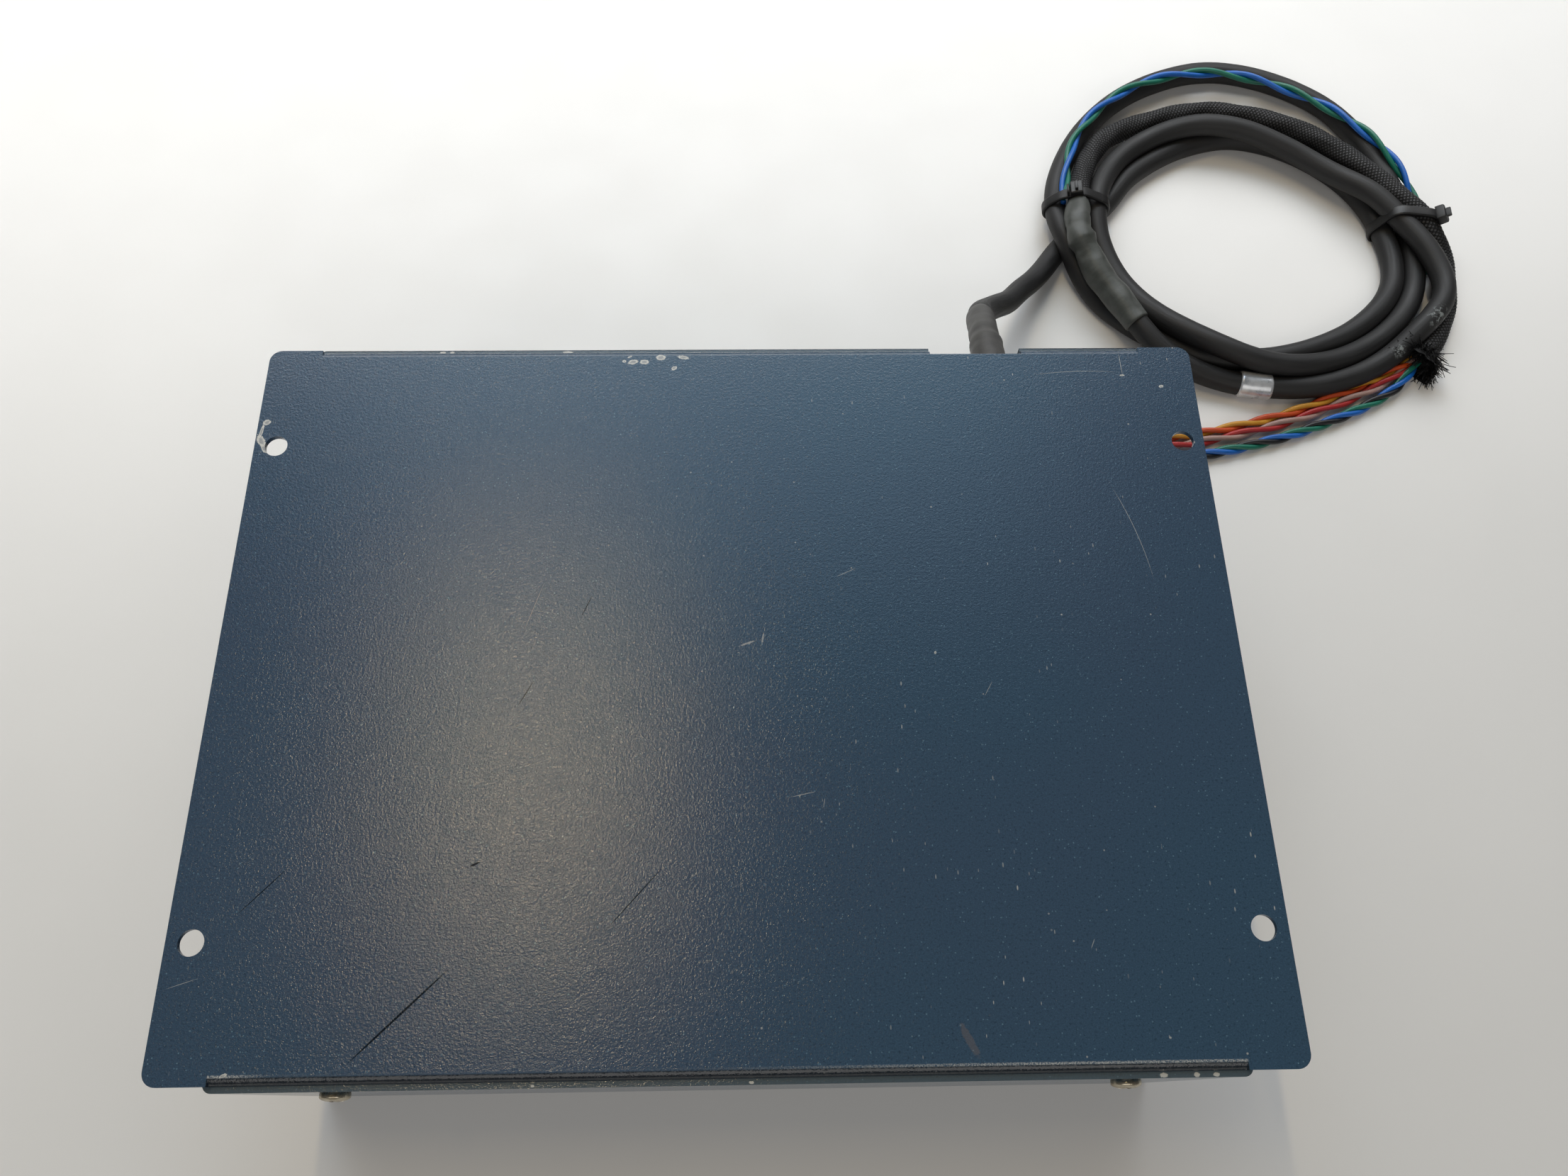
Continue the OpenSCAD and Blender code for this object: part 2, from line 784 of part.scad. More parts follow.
module cable_coil() color("#26282a")
    translate([coil_mid[0], coil_mid[1], coil_lift])
        rotate_extrude($fn = 72)
            translate([coil_r, coil_h / 2])
                rounded(coil_w, coil_h, 8);

module coil_ties() color("#161617")
    for (a = tie_angles)
        translate([coil_mid[0], coil_mid[1], coil_lift])
            rotate([0, 0, a])
                translate([coil_r, tie_w / 2, coil_h / 2])
                    rotate([90, 0, 0])
                        linear_extrude(tie_w)
                            difference() {
                                rounded(coil_w + 2.6, coil_h + 2.6, 9.3);
                                rounded(coil_w, coil_h, 8);
                            }

module braided_sleeve() color("#1b1b1c")
    tube(sleeve_route, [for (p = sleeve_route) cable_d / 2], 12);

module signal_wires() color("#c8662a")
    for (side = pair_sides)
        tube([for (k = [0 : len(wire_route) - 1]) wire_route[k] + [0, side * wire_fan[k], 0]],
             [for (p = wire_route) wire_r], 8);

back_plate();
cover();
cover_screws();
clinch_nuts();
blank_label();
front_panel();
panel_screws();
heatsink();
press_studs();
stud_nuts();
power_module();
bridge_rectifier();
brake_resistor();
power_screws();
power_board();
board_standoffs();
board_screws();
bus_capacitors();
line_choke();
film_capacitors();
control_transformer();
inrush_relay();
line_fuse();
fuse_clips();
power_terminals();
terminal_screws();
control_board();
control_standoffs();
control_chips();
command_connector();
feedback_connector();
connector_inserts();
jack_posts();
setup_port();
status_leds();
dip_switch();
dip_lever(0);  // dip_lever_1
dip_lever(1);  // dip_lever_2
dip_lever(2);  // dip_lever_3
dip_lever(3);  // dip_lever_4
address_switch();
address_dial();
trimmer_bodies();
trimmer_screw(0);  // trimmer_screw_1
trimmer_screw(1);  // trimmer_screw_2
reset_switch();
reset_button();
ribbon_cable();
ribbon_headers();
fan_housing();
fan_rotor();
fan_screws();
cable_clamp();
inner_leads();
cable_boot();
cable_lead();
cable_coil();
coil_ties();
braided_sleeve();
signal_wires();
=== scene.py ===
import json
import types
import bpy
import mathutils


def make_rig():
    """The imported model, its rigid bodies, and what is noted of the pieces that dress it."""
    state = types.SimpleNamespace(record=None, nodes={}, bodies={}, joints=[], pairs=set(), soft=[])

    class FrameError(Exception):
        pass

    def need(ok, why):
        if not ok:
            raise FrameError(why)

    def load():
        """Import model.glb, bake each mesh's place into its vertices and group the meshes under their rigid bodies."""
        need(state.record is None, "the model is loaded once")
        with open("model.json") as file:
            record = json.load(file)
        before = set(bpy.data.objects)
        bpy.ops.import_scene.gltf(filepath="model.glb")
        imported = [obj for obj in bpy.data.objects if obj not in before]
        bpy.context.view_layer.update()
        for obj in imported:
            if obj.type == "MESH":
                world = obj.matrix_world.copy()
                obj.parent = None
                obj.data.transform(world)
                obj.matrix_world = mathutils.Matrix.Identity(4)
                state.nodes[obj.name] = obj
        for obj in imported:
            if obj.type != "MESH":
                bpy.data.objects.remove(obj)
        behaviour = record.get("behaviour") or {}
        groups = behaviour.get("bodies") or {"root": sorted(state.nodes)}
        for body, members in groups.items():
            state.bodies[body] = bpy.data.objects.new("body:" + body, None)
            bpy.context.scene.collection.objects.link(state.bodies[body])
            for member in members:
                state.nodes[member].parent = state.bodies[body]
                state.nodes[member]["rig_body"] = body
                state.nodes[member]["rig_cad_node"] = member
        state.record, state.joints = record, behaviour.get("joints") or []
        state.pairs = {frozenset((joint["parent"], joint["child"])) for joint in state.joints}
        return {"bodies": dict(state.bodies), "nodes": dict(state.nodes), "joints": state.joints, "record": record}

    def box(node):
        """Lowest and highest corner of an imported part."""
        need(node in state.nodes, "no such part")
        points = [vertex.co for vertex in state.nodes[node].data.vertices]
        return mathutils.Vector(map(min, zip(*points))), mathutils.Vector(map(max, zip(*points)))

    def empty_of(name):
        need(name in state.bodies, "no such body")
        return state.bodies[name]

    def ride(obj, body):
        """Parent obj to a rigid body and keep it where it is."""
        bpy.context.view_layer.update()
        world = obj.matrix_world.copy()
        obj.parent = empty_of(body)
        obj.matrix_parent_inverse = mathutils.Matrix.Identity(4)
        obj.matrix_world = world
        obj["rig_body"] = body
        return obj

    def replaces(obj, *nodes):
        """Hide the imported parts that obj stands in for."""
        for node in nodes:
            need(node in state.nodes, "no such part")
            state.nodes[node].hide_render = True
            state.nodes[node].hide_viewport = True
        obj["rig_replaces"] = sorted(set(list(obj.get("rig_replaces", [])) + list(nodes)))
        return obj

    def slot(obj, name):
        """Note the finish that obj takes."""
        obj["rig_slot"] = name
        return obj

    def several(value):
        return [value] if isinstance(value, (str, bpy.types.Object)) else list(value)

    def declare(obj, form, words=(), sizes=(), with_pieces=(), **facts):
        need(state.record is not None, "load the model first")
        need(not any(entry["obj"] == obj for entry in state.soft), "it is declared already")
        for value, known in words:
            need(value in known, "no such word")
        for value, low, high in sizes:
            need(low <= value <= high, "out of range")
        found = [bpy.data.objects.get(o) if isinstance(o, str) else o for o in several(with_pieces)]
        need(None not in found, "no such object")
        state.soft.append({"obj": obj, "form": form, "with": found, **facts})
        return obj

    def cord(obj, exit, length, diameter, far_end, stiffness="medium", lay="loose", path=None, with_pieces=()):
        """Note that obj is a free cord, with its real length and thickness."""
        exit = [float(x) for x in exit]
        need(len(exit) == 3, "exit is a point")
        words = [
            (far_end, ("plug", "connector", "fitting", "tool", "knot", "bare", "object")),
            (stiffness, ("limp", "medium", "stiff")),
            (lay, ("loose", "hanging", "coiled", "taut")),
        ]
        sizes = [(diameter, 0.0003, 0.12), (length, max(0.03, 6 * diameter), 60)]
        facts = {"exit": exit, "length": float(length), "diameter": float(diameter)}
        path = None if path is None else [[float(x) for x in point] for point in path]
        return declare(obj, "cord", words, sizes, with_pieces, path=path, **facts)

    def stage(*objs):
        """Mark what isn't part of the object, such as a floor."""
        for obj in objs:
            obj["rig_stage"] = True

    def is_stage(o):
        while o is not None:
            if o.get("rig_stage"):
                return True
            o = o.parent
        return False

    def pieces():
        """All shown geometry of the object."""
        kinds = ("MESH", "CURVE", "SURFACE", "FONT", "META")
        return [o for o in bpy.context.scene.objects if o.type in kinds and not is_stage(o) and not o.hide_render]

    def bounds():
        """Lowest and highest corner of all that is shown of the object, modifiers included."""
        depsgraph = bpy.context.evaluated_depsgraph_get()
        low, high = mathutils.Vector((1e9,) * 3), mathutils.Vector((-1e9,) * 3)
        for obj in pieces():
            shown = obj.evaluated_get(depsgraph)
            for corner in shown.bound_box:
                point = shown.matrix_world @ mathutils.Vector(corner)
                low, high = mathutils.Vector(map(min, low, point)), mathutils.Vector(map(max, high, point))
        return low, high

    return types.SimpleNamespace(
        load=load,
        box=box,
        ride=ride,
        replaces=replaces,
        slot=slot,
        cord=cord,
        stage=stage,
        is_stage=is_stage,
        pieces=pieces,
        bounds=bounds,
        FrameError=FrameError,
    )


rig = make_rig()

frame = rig.load()

import json
import math

import bmesh
import bpy
import numpy as np
from mathutils import Vector, noise

CAD_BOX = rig.bounds()
MM = 0.001
RANDOM = np.random.default_rng(75)
NODE_BODY = {
    name: body
    for body, names in frame["record"]["behaviour"]["bodies"].items()
    for name in names
}
NODE_SLOTS = {
    name: [m.name.split(".")[0] for m in node.data.materials]
    for name, node in frame["nodes"].items()
}

# ---------- camera ----------


def make_camera():
    """The photo's camera, solved from the plate's four corners."""
    data = bpy.data.cameras.new("camera")
    data.lens = 27.716
    data.sensor_width = 36
    camera = bpy.data.objects.new("camera", data)
    camera.location = (0.00805, -0.11894, 0.43833)
    camera.rotation_euler = (0.4046, -0.01573, -0.01559)
    bpy.context.scene.collection.objects.link(camera)
    bpy.context.scene.camera = camera


# ---------- shader helpers ----------


class Finish:
    """A material under construction, with short names for the nodes it uses."""

    def __init__(self, name, **shader):
        self.material = bpy.data.materials.new(name)
        self.material.use_nodes = True
        self.tree = self.material.node_tree
        self.shader = self.tree.nodes["Principled BSDF"]
        for key, value in shader.items():
            self.shader.inputs[key.replace("_", " ")].default_value = value
        self.place = self.node("ShaderNodeTexCoord").outputs["Object"]

    def node(self, kind, **settings):
        new = self.tree.nodes.new(kind)
        for key, value in settings.items():
            setattr(new, key, value)
        return new

    def feed(self, socket, value):
        if isinstance(value, bpy.types.NodeSocket):
            self.tree.links.new(value, socket)
        elif isinstance(value, tuple) and len(value) == 3 and socket.type == "RGBA":
            socket.default_value = (*value, 1)
        else:
            socket.default_value = value

    def stretch(self, vector, scale=(1, 1, 1), turn=(0, 0, 0), shift=(0, 0, 0)):
        mapping = self.node("ShaderNodeMapping")
        self.feed(mapping.inputs["Vector"], vector)
        mapping.inputs["Scale"].default_value = scale
        mapping.inputs["Rotation"].default_value = turn
        mapping.inputs["Location"].default_value = shift
        return mapping.outputs["Vector"]

    def noise(self, scale, detail=2.0, rough=0.5, vector=None):
        node = self.node("ShaderNodeTexNoise")
        self.feed(node.inputs["Vector"], self.place if vector is None else vector)
        node.inputs["Scale"].default_value = scale
        node.inputs["Detail"].default_value = detail
        node.inputs["Roughness"].default_value = rough
        return node.outputs["Fac"]

    def uv(self):
        return self.node("ShaderNodeUVMap", uv_map="UVMap").outputs["UV"]

    def cord_noise(self, around, along, detail=4, rough=0.6):
        """Noise in a cord's own coordinates: scales around it and along it."""
        return self.noise(1, detail, rough, self.stretch(self.uv(), scale=(around, along, 1)))

    def cells(self, scale, vector=None, output="Distance", spread=1.0):
        node = self.node("ShaderNodeTexVoronoi")
        self.feed(node.inputs["Vector"], self.place if vector is None else vector)
        node.inputs["Scale"].default_value = scale
        node.inputs["Randomness"].default_value = spread
        return node.outputs[output]

    def math(self, operation, *values):
        node = self.node("ShaderNodeMath", operation=operation)
        for socket, value in zip(node.inputs, values):
            self.feed(socket, value)
        return node.outputs[0]

    def times(self, product, *factors):
        for factor in factors:
            product = self.math("MULTIPLY", product, factor)
        return product

    def most(self, a, b):
        return self.math("MAXIMUM", a, b)

    def span(self, value, low, high, to_low=0.0, to_high=1.0):
        """value moved from low..high to to_low..to_high, clamped and eased."""
        node = self.node("ShaderNodeMapRange", interpolation_type="SMOOTHSTEP")
        self.feed(node.inputs["Value"], value)
        for key, number in zip(("From Min", "From Max", "To Min", "To Max"),
                               (low, high, to_low, to_high)):
            node.inputs[key].default_value = number
        return node.outputs["Result"]

    def middle(self, value, to_low=0.0, to_high=1.0):
        """The middle range of a noise, where most of it lies, as to_low..to_high."""
        return self.span(value, 0.3, 0.7, to_low, to_high)

    def blend(self, share, a, b):
        node = self.node("ShaderNodeMix", data_type="RGBA")
        self.feed(node.inputs["Factor"], share)
        self.feed(node.inputs["A"], a)
        self.feed(node.inputs["B"], b)
        return node.outputs["Result"]

    def specked(self, colour, speck, share, grain, rise):
        """colour, with up to a share of speck where a noise of that grain is in its rise."""
        return self.blend(self.span(self.noise(*grain), *rise, 0, share), colour, speck)

    def part(self, vector, axis):
        node = self.node("ShaderNodeSeparateXYZ")
        self.feed(node.inputs[0], vector)
        return node.outputs[axis]

    def face_value(self, name):
        return self.node("ShaderNodeAttribute", attribute_name=name).outputs["Fac"]

    def use(self, colour, rough, height, depth):
        """The finished material; height is a relief whose full step is depth in metres."""
        bump = self.node("ShaderNodeBump")
        bump.inputs["Distance"].default_value = depth
        self.feed(bump.inputs["Height"], height)
        for key, value in (("Base Color", colour), ("Roughness", rough),
                           ("Normal", bump.outputs["Normal"])):
            self.feed(self.shader.inputs[key], value)
        return self.material


def srgb(r, g, b):
    """An sRGB colour in 0..255 as the linear colour a shader takes."""
    def one(c):
        c /= 255
        return c / 12.92 if c <= 0.04045 else ((c + 0.055) / 1.055) ** 2.4
    return (one(r), one(g), one(b))


def mark_group():
    """Node group: 1 inside a ragged, tapered ellipse that may be bent, 0 outside."""
    group = bpy.data.node_groups.new("mark", "ShaderNodeTree")
    face = group.interface
    face.new_socket("Place", in_out="INPUT", socket_type="NodeSocketVector")
    for name in ("Half length", "Half width", "Bend", "Ragged", "Grain", "Hollow"):
        face.new_socket(name, in_out="INPUT", socket_type="NodeSocketFloat")
    face.new_socket("Mask", in_out="OUTPUT", socket_type="NodeSocketFloat")
    nodes, links = group.nodes, group.links
    inner = nodes.new("NodeGroupInput")
    outer = nodes.new("NodeGroupOutput")

    def calc(operation, *values):
        node = nodes.new("ShaderNodeMath")
        node.operation = operation
        for socket, value in zip(node.inputs, values):
            if isinstance(value, bpy.types.NodeSocket):
                links.new(value, socket)
            else:
                socket.default_value = value
        return node.outputs[0]

    split = nodes.new("ShaderNodeSeparateXYZ")
    links.new(inner.outputs["Place"], split.inputs[0])
    along, across = split.outputs["X"], split.outputs["Y"]
    bow = calc("MULTIPLY", calc("MULTIPLY", along, along), inner.outputs["Bend"])
    a = calc("DIVIDE", along, inner.outputs["Half length"])
    b = calc("DIVIDE", calc("SUBTRACT", across, bow), inner.outputs["Half width"])
    reach = calc("SQRT", calc("ADD", calc("MULTIPLY", a, a), calc("MULTIPLY", b, b)))
    rough = calc("MULTIPLY", calc("SUBTRACT", inner.outputs["Grain"], 0.5),
                 inner.outputs["Ragged"])
    ragged_reach = calc("ADD", reach, rough)

    def within(low, high):
        node = nodes.new("ShaderNodeMapRange")
        node.interpolation_type = "SMOOTHSTEP"
        links.new(ragged_reach, node.inputs["Value"])
        node.inputs["From Min"].default_value = high
        node.inputs["From Max"].default_value = low
        return node.outputs["Result"]

    core = calc("MULTIPLY", within(0.35, 0.7), inner.outputs["Hollow"])
    mask = calc("MULTIPLY", within(0.7, 1.0), calc("SUBTRACT", 1.0, core))
    links.new(mask, outer.inputs["Mask"])
    return group


MARK = mark_group()


def marks(finish, grain, items, hollow=0.0):
    """Marks on the upper face, joined by their maximum. Item: x, y, turn in degrees, half
    length, half width, bend (1/m), raggedness; lengths in millimetres. Hollow ones fade
    towards their middle."""
    total = None
    for x, y, turn, half_length, half_width, bend, ragged in items:
        angle = math.radians(turn)
        # A Mapping node scales, turns, then shifts: the shift is the turned centre
        back_x = -(x * math.cos(angle) + y * math.sin(angle)) * MM
        back_y = -(-x * math.sin(angle) + y * math.cos(angle)) * MM
        place = finish.stretch(finish.place, turn=(0, 0, -angle), shift=(back_x, back_y, 0))
        group = finish.node("ShaderNodeGroup", node_tree=MARK)
        for key, value in (("Place", place), ("Grain", grain), ("Bend", bend),
                           ("Half length", half_length * MM), ("Half width", half_width * MM),
                           ("Ragged", ragged), ("Hollow", hollow)):
            finish.feed(group.inputs[key], value)
        mask = group.outputs["Mask"]
        total = mask if total is None else finish.most(total, mask)
    return total


# ---------- finishes ----------

PLATE_CHIPS = [
    (-35.9, 107.9, 0, 0.7, 0.6, 0, 1.0), (-34.2, 109.6, 30, 0.9, 0.35, 0, 1.2),
    (-33.0, 107.6, 10, 1.9, 1.0, 0, 0.9), (-29.3, 107.6, 0, 1.7, 1.0, 0, 0.9),
    (-23.9, 109.3, 0, 1.8, 1.2, 0, 0.8), (-19.4, 105.1, 30, 1.1, 0.8, 0, 1.0),
    (-16.5, 109.3, -10, 2.1, 0.8, 0, 1.0),
    (141.3, 97.2, 15, 0.9, 0.55, 0, 1.0), (128.9, 101.6, 0, 0.9, 0.35, 0, 1.1),
    (-149.7, 85.2, 20, 1.5, 1.1, 0, 1.0), (-150.9, 81.8, 82, 2.8, 0.6, 0, 1.2),
    (-150.5, 78.4, -60, 2.8, 1.3, 0, 1.2), (-149.2, 75.6, -60, 2.0, 0.8, 0, 1.0),
    (-131.4, -109.9, 20, 1.2, 0.5, 0, 1.2), (60.5, 4.5, 80, 0.5, 0.35, 0, 1.0),
    (-12.0, 111.9, 0, 1.8, 0.3, 0, 1.0), (39.0, 112.0, 0, 2.6, 0.25, 0, 1.0),
    (31.0, 112.0, 0, 1.4, 0.25, 0, 1.0),
]
COVER_CHIPS = [
    (113.5, -113.4, 0, 1.2, 0.7, 0, 0.8), (122.3, -113.4, 0, 0.9, 0.7, 0, 0.8),
    (127.5, -113.4, 0, 1.0, 0.6, 0, 0.8), (-96.7, 113.3, 0, 1.2, 0.5, 0, 1.0),
    (-93.6, 113.3, 0, 0.8, 0.5, 0, 1.0), (-55.2, 113.3, 0, 2.0, 0.45, 0, 1.0),
    (5.0, -113.5, 0, 0.7, 0.4, 0, 1.0), (-52.0, -113.5, 0, 0.6, 0.4, 0, 1.0),
]
PLATE_SCRATCHES = [
    (128.9, 106.0, 92, 4.6, 0.16, 0, 0.5), (113.5, 103.2, 2, 15.5, 0.11, -4.5, 0.6),
    (125.9, 44.5, 106, 18.0, 0.12, 4.2, 0.9), (-60.0, 20.0, 72, 9.0, 0.05, 0, 0.5),
    (35.0, 31.0, 25, 3.8, 0.12, 0, 0.8), (20.0, -38.0, 12, 4.2, 0.14, 0, 0.9),
    (26.0, -40.5, 80, 1.6, 0.12, 0, 0.6), (75.5, -7.0, 60, 2.8, 0.1, 0, 0.6),
    (-146.0, -87.0, 18, 4.5, 0.1, 0, 0.8), (9.0, 9.5, 80, 2.2, 0.3, 0, 1.4),
    (4.5, 8.0, 20, 3.0, 0.35, 0, 1.5), (98.0, -80.0, 65, 1.6, 0.12, 0, 0.6),
]
DARK_SCRATCHES = [
    (-88.0, -96.0, 44, 19.0, 0.34, 0, 0.4), (-128.3, -63.0, 46, 9.5, 0.16, 0, 0.5),
    (-26.5, -66.0, 48, 12.5, 0.16, 0, 0.6), (-60.5, -7.0, 62, 5.0, 0.14, 0, 0.5),
    (-44.0, 20.5, 66, 4.0, 0.14, 0, 0.5), (-71.2, -56.5, 24, 1.6, 0.35, 0, 0.8),
]
BROWN_STAIN = [(62.5, -104.2, -62, 5.8, 1.2, 14, 1.2)]
# Rubbed places on the sheath: x, y, z and reach, in millimetres
SCUFFED = [(299.6, 184.6, 17, 7.5), (280.9, 170.6, 13, 5.0), (238.2, 327.3, 17, 5.0)]
PAINT = srgb(57, 72, 93)
PRIMER = srgb(205, 204, 198)
COVER_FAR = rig.box("cover")[1][1]
COVER_TOP = (0.0955, 0.0965)
# Where the back plate bends down at its near edge, on its upper face, in metres; FOLD_DARK is the band where shade is
# painted into the near fold
FOLD_WORN = (-0.1096, -0.11)
FOLD_WORN_END = (-0.1106, -0.1103)
FOLD_DARK = (-0.1102, -0.1107)
FOLD_HALF_LENGTH = (0.1358, 0.1352)
BRAID_CARRIERS = 14
BRAID_PITCH = 1.7 * MM
RIBBON_PITCH = 1.27 * MM
WINDING_PITCH = 0.9 * MM


def powder_coat(name, on_plate):
    """Blue polyester paint with a fine peel, painted glints, dust specks, wear and a painted
    highlight on its rounded edges; the plate has its own marks and painted shade in its near
    fold, the cover a top rim lightened as worn cut edge and painted highlight, with painted
    shade along its far edge; both sheets show primer along the edges."""
    f = Finish(name, IOR=1.48)
    x, y = f.part(f.place, "X"), f.part(f.place, "Y")
    colour = f.blend(f.middle(f.noise(6, 2, 0.5)), PAINT, srgb(50, 75, 96))
    colour = f.specked(colour, srgb(62, 90, 112), 0.8, (2600, 2, 0.6), (0.4, 0.75))
    colour = f.specked(colour, srgb(22, 37, 54), 0.55, (1400, 3, 0.6), (0.52, 0.74))
    # Painted glints: tiny light-blue dots standing for the peel catching the light
    painted_glint = f.times(f.span(f.cells(760), 0.2, 0.1),
                    f.span(f.cells(760, output="Color"), 0.5, 0.7, 0, 0.6))
    colour = f.blend(painted_glint, colour, srgb(108, 140, 158))
    dust = f.times(f.span(f.cells(240), 0.09, 0.04),
                   f.span(f.cells(240, output="Color"), 0.7, 0.82),
                   f.span(x, -0.1, 0.05, 0.1, 0.5))
    colour = f.blend(dust, colour, PRIMER)
    ragged = f.noise(1900, 3, 0.65)
    edge = f.face_value("edge")
    worn = f.times(edge, f.span(f.noise(95, 4, 0.7), 0.58, 0.7), f.span(ragged, 0.42, 0.56))
    # Painted highlight: every rounded edge is lightened a little towards a paler blue
    colour = f.blend(f.times(edge, 0.16), colour, srgb(96, 116, 132))
    bare = worn
    if on_plate:
        worked = f.times(f.span(x, -0.02, 0.09, 0.15, 1.0),
                         f.span(f.noise(22, 3, 0.6), 0.46, 0.62))
        for turn, scale, size in ((0.9, 420, 0.1), (-0.7, 560, 0.1), (1.45, 300, 0.075)):
            flat = f.stretch(f.place, scale=(1, 0.3, 1), turn=(0, 0, turn))
            fleck = f.span(f.cells(scale, flat), size, size * 0.6)
            some = f.span(f.cells(scale, flat, "Color"), 0.6, 0.66)
            bare = f.most(bare, f.times(fleck, some, worked, 0.6))
        bare = f.most(bare, marks(f, ragged, PLATE_CHIPS, 0.5))
        bare = f.most(bare, f.times(marks(f, ragged, PLATE_SCRATCHES), 0.38))
        ends = f.most(f.span(x, -0.02, 0.1, 0.06, 1), f.span(x, -0.118, -0.13, 0.1, 1))
        folded = f.span(f.math("ABSOLUTE", x), *FOLD_HALF_LENGTH)
        rubbed = f.times(f.span(y, *FOLD_WORN), f.span(y, *FOLD_WORN_END),
                         f.span(f.noise(2400, 3, 0.7), 0.38, 0.62, 0, 0.7), ends, folded)
        bare = f.most(bare, rubbed)
        # Painted shade: the band along the near fold is darkened almost to black, standing in for the shade in the
        # fold
        painted_shade_in_fold = f.times(f.span(y, *FOLD_DARK, 0, 0.85), folded)
        colour = f.blend(painted_shade_in_fold, colour, srgb(10, 12, 15))
        dark = marks(f, ragged, DARK_SCRATCHES)
        colour = f.blend(f.times(dark, 0.9), colour, srgb(12, 15, 19))
        f.feed(f.shader.inputs["Specular IOR Level"], f.span(dark, 0, 1, 0.5, 0.05))
        stain = marks(f, f.noise(500, 3, 0.6), BROWN_STAIN)
        colour = f.blend(f.times(stain, 0.3), colour, srgb(122, 108, 98))
    else:
        upper = f.span(f.part(f.place, "Z"), *COVER_TOP)
        # The cover's top rim is lightened: partly its worn cut edge, partly a painted highlight where it faces up to
        # the light
        colour = f.blend(f.times(upper, 0.4), colour, srgb(112, 120, 116))
        # Painted shade: a thin dark line along the far side of the cover's top rim, for the shadowed gap there
        far_edge_painted_shade = f.times(upper, f.span(y, COVER_FAR - 0.5 * MM, COVER_FAR - 0.2 * MM))
        colour = f.blend(far_edge_painted_shade, colour, srgb(20, 20, 34))
        bare = f.most(bare, f.times(upper, marks(f, ragged, COVER_CHIPS)))
    colour = f.blend(bare, colour, PRIMER)
    gloss = f.middle(f.noise(1500, 2, 0.6), 0.12, 0.18)
    rough = f.math("ADD", gloss, f.times(bare, 0.2))
    peel = f.math("ADD", f.noise(1150, 2, 0.55), f.times(f.noise(2600, 1, 0.5), 0.6))
    return f.use(colour, rough, f.math("SUBTRACT", peel, f.times(worn, 0.7)), 0.08 * MM)


def jacket():
    """Extruded PVC sheath: matt black, faint drawing lines and scuffs along it."""
    f = Finish("jacket", IOR=1.48)
    along = f.cord_noise(24, 60)
    scuff = f.span(f.cord_noise(9, 190, rough=0.7), 0.66, 0.78)
    colour = f.blend(f.middle(along), srgb(22, 22, 23), srgb(31, 31, 32))
    colour = f.blend(f.times(scuff, 0.22), colour, srgb(96, 98, 97))
    rubbed = f.span(f.noise(420, 4, 0.75), 0.5, 0.6)
    for x, y, z, reach in SCUFFED:
        away = f.node("ShaderNodeVectorMath", operation="DISTANCE")
        f.feed(away.inputs[0], f.place)
        away.inputs[1].default_value = (x * MM, y * MM, z * MM)
        near = f.span(away.outputs["Value"], reach * MM, 0.4 * reach * MM)
        colour = f.blend(f.times(near, rubbed, 0.7), colour, srgb(150, 156, 156))
    height = f.math("ADD", f.noise(2300, 2, 0.6), f.times(along, 0.8))
    return f.use(colour, f.middle(along, 0.52, 0.66), height, 0.04 * MM)


def shrink(name, low, high):
    """Heat-shrink tube: satin, with soft wrinkles around it."""
    f = Finish(name, IOR=1.47)
    wrinkle = f.cord_noise(5, 260)
    colour = f.blend(f.middle(wrinkle), low, high)
    colour = f.specked(colour, srgb(108, 106, 100), 0.3, (420, 4, 0.7), (0.62, 0.8))
    height = f.math("ADD", wrinkle, f.times(f.noise(1500, 3, 0.6), 0.35))
    return f.use(colour, f.middle(wrinkle, 0.42, 0.56), height, 0.12 * MM)


def braid_finish():
    """Woven sleeving: crossing strands in the tube's own coordinates, with painted highlights on the strands and
    painted shade between them and in its folds.
    """
    f = Finish("braid_weave", IOR=1.45)
    uv = f.uv()
    around = f.times(f.part(uv, "X"), BRAID_CARRIERS * math.pi)
    along = f.times(f.part(uv, "Y"), math.pi / BRAID_PITCH)
    one = f.math("SINE", f.math("ADD", around, along))
    two = f.math("SINE", f.math("SUBTRACT", around, along))
    weave = f.math("ABSOLUTE", f.times(one, two))
    # Painted highlight and shade: strand tops lighter, the gaps between them near black
    colour = f.blend(f.span(weave, 0.1, 0.85), srgb(2, 2, 2), srgb(56, 56, 58))
    # Painted shade: patches where the sleeving is darkened almost to black, for the shade in its folds
    fold = f.span(f.cord_noise(22, 26, 3), 0.5, 0.66, 0, 0.8)
    colour = f.blend(fold, colour, srgb(4, 4, 5))
    colour = f.specked(colour, srgb(66, 66, 68), 0.3, (900, 3, 0.7), (0.6, 0.8))
    height = f.math("ADD", weave, f.times(f.noise(4000, 2, 0.6), 0.4))
    return f.use(colour, f.span(weave, 0.2, 0.9, 0.8, 0.45), height, 0.3 * MM)


def plastic(name, colour, second=None, rough=0.42):
    """Moulded plastic with a fine spark-eroded grain and a slight cast in its colour."""
    f = Finish(name, IOR=1.5)
    cloud = f.noise(140, 4, 0.6)
    second = second or tuple(min(1, c * 1.22 + 0.004) for c in colour)
    tone = f.blend(f.middle(cloud), colour, second)
    tone = f.specked(tone, srgb(150, 148, 142), 0.25, (620, 4, 0.75), (0.63, 0.78))
    return f.use(tone, f.middle(cloud, rough - 0.06, rough + 0.08), f.noise(1800, 3, 0.6),
                 0.03 * MM)


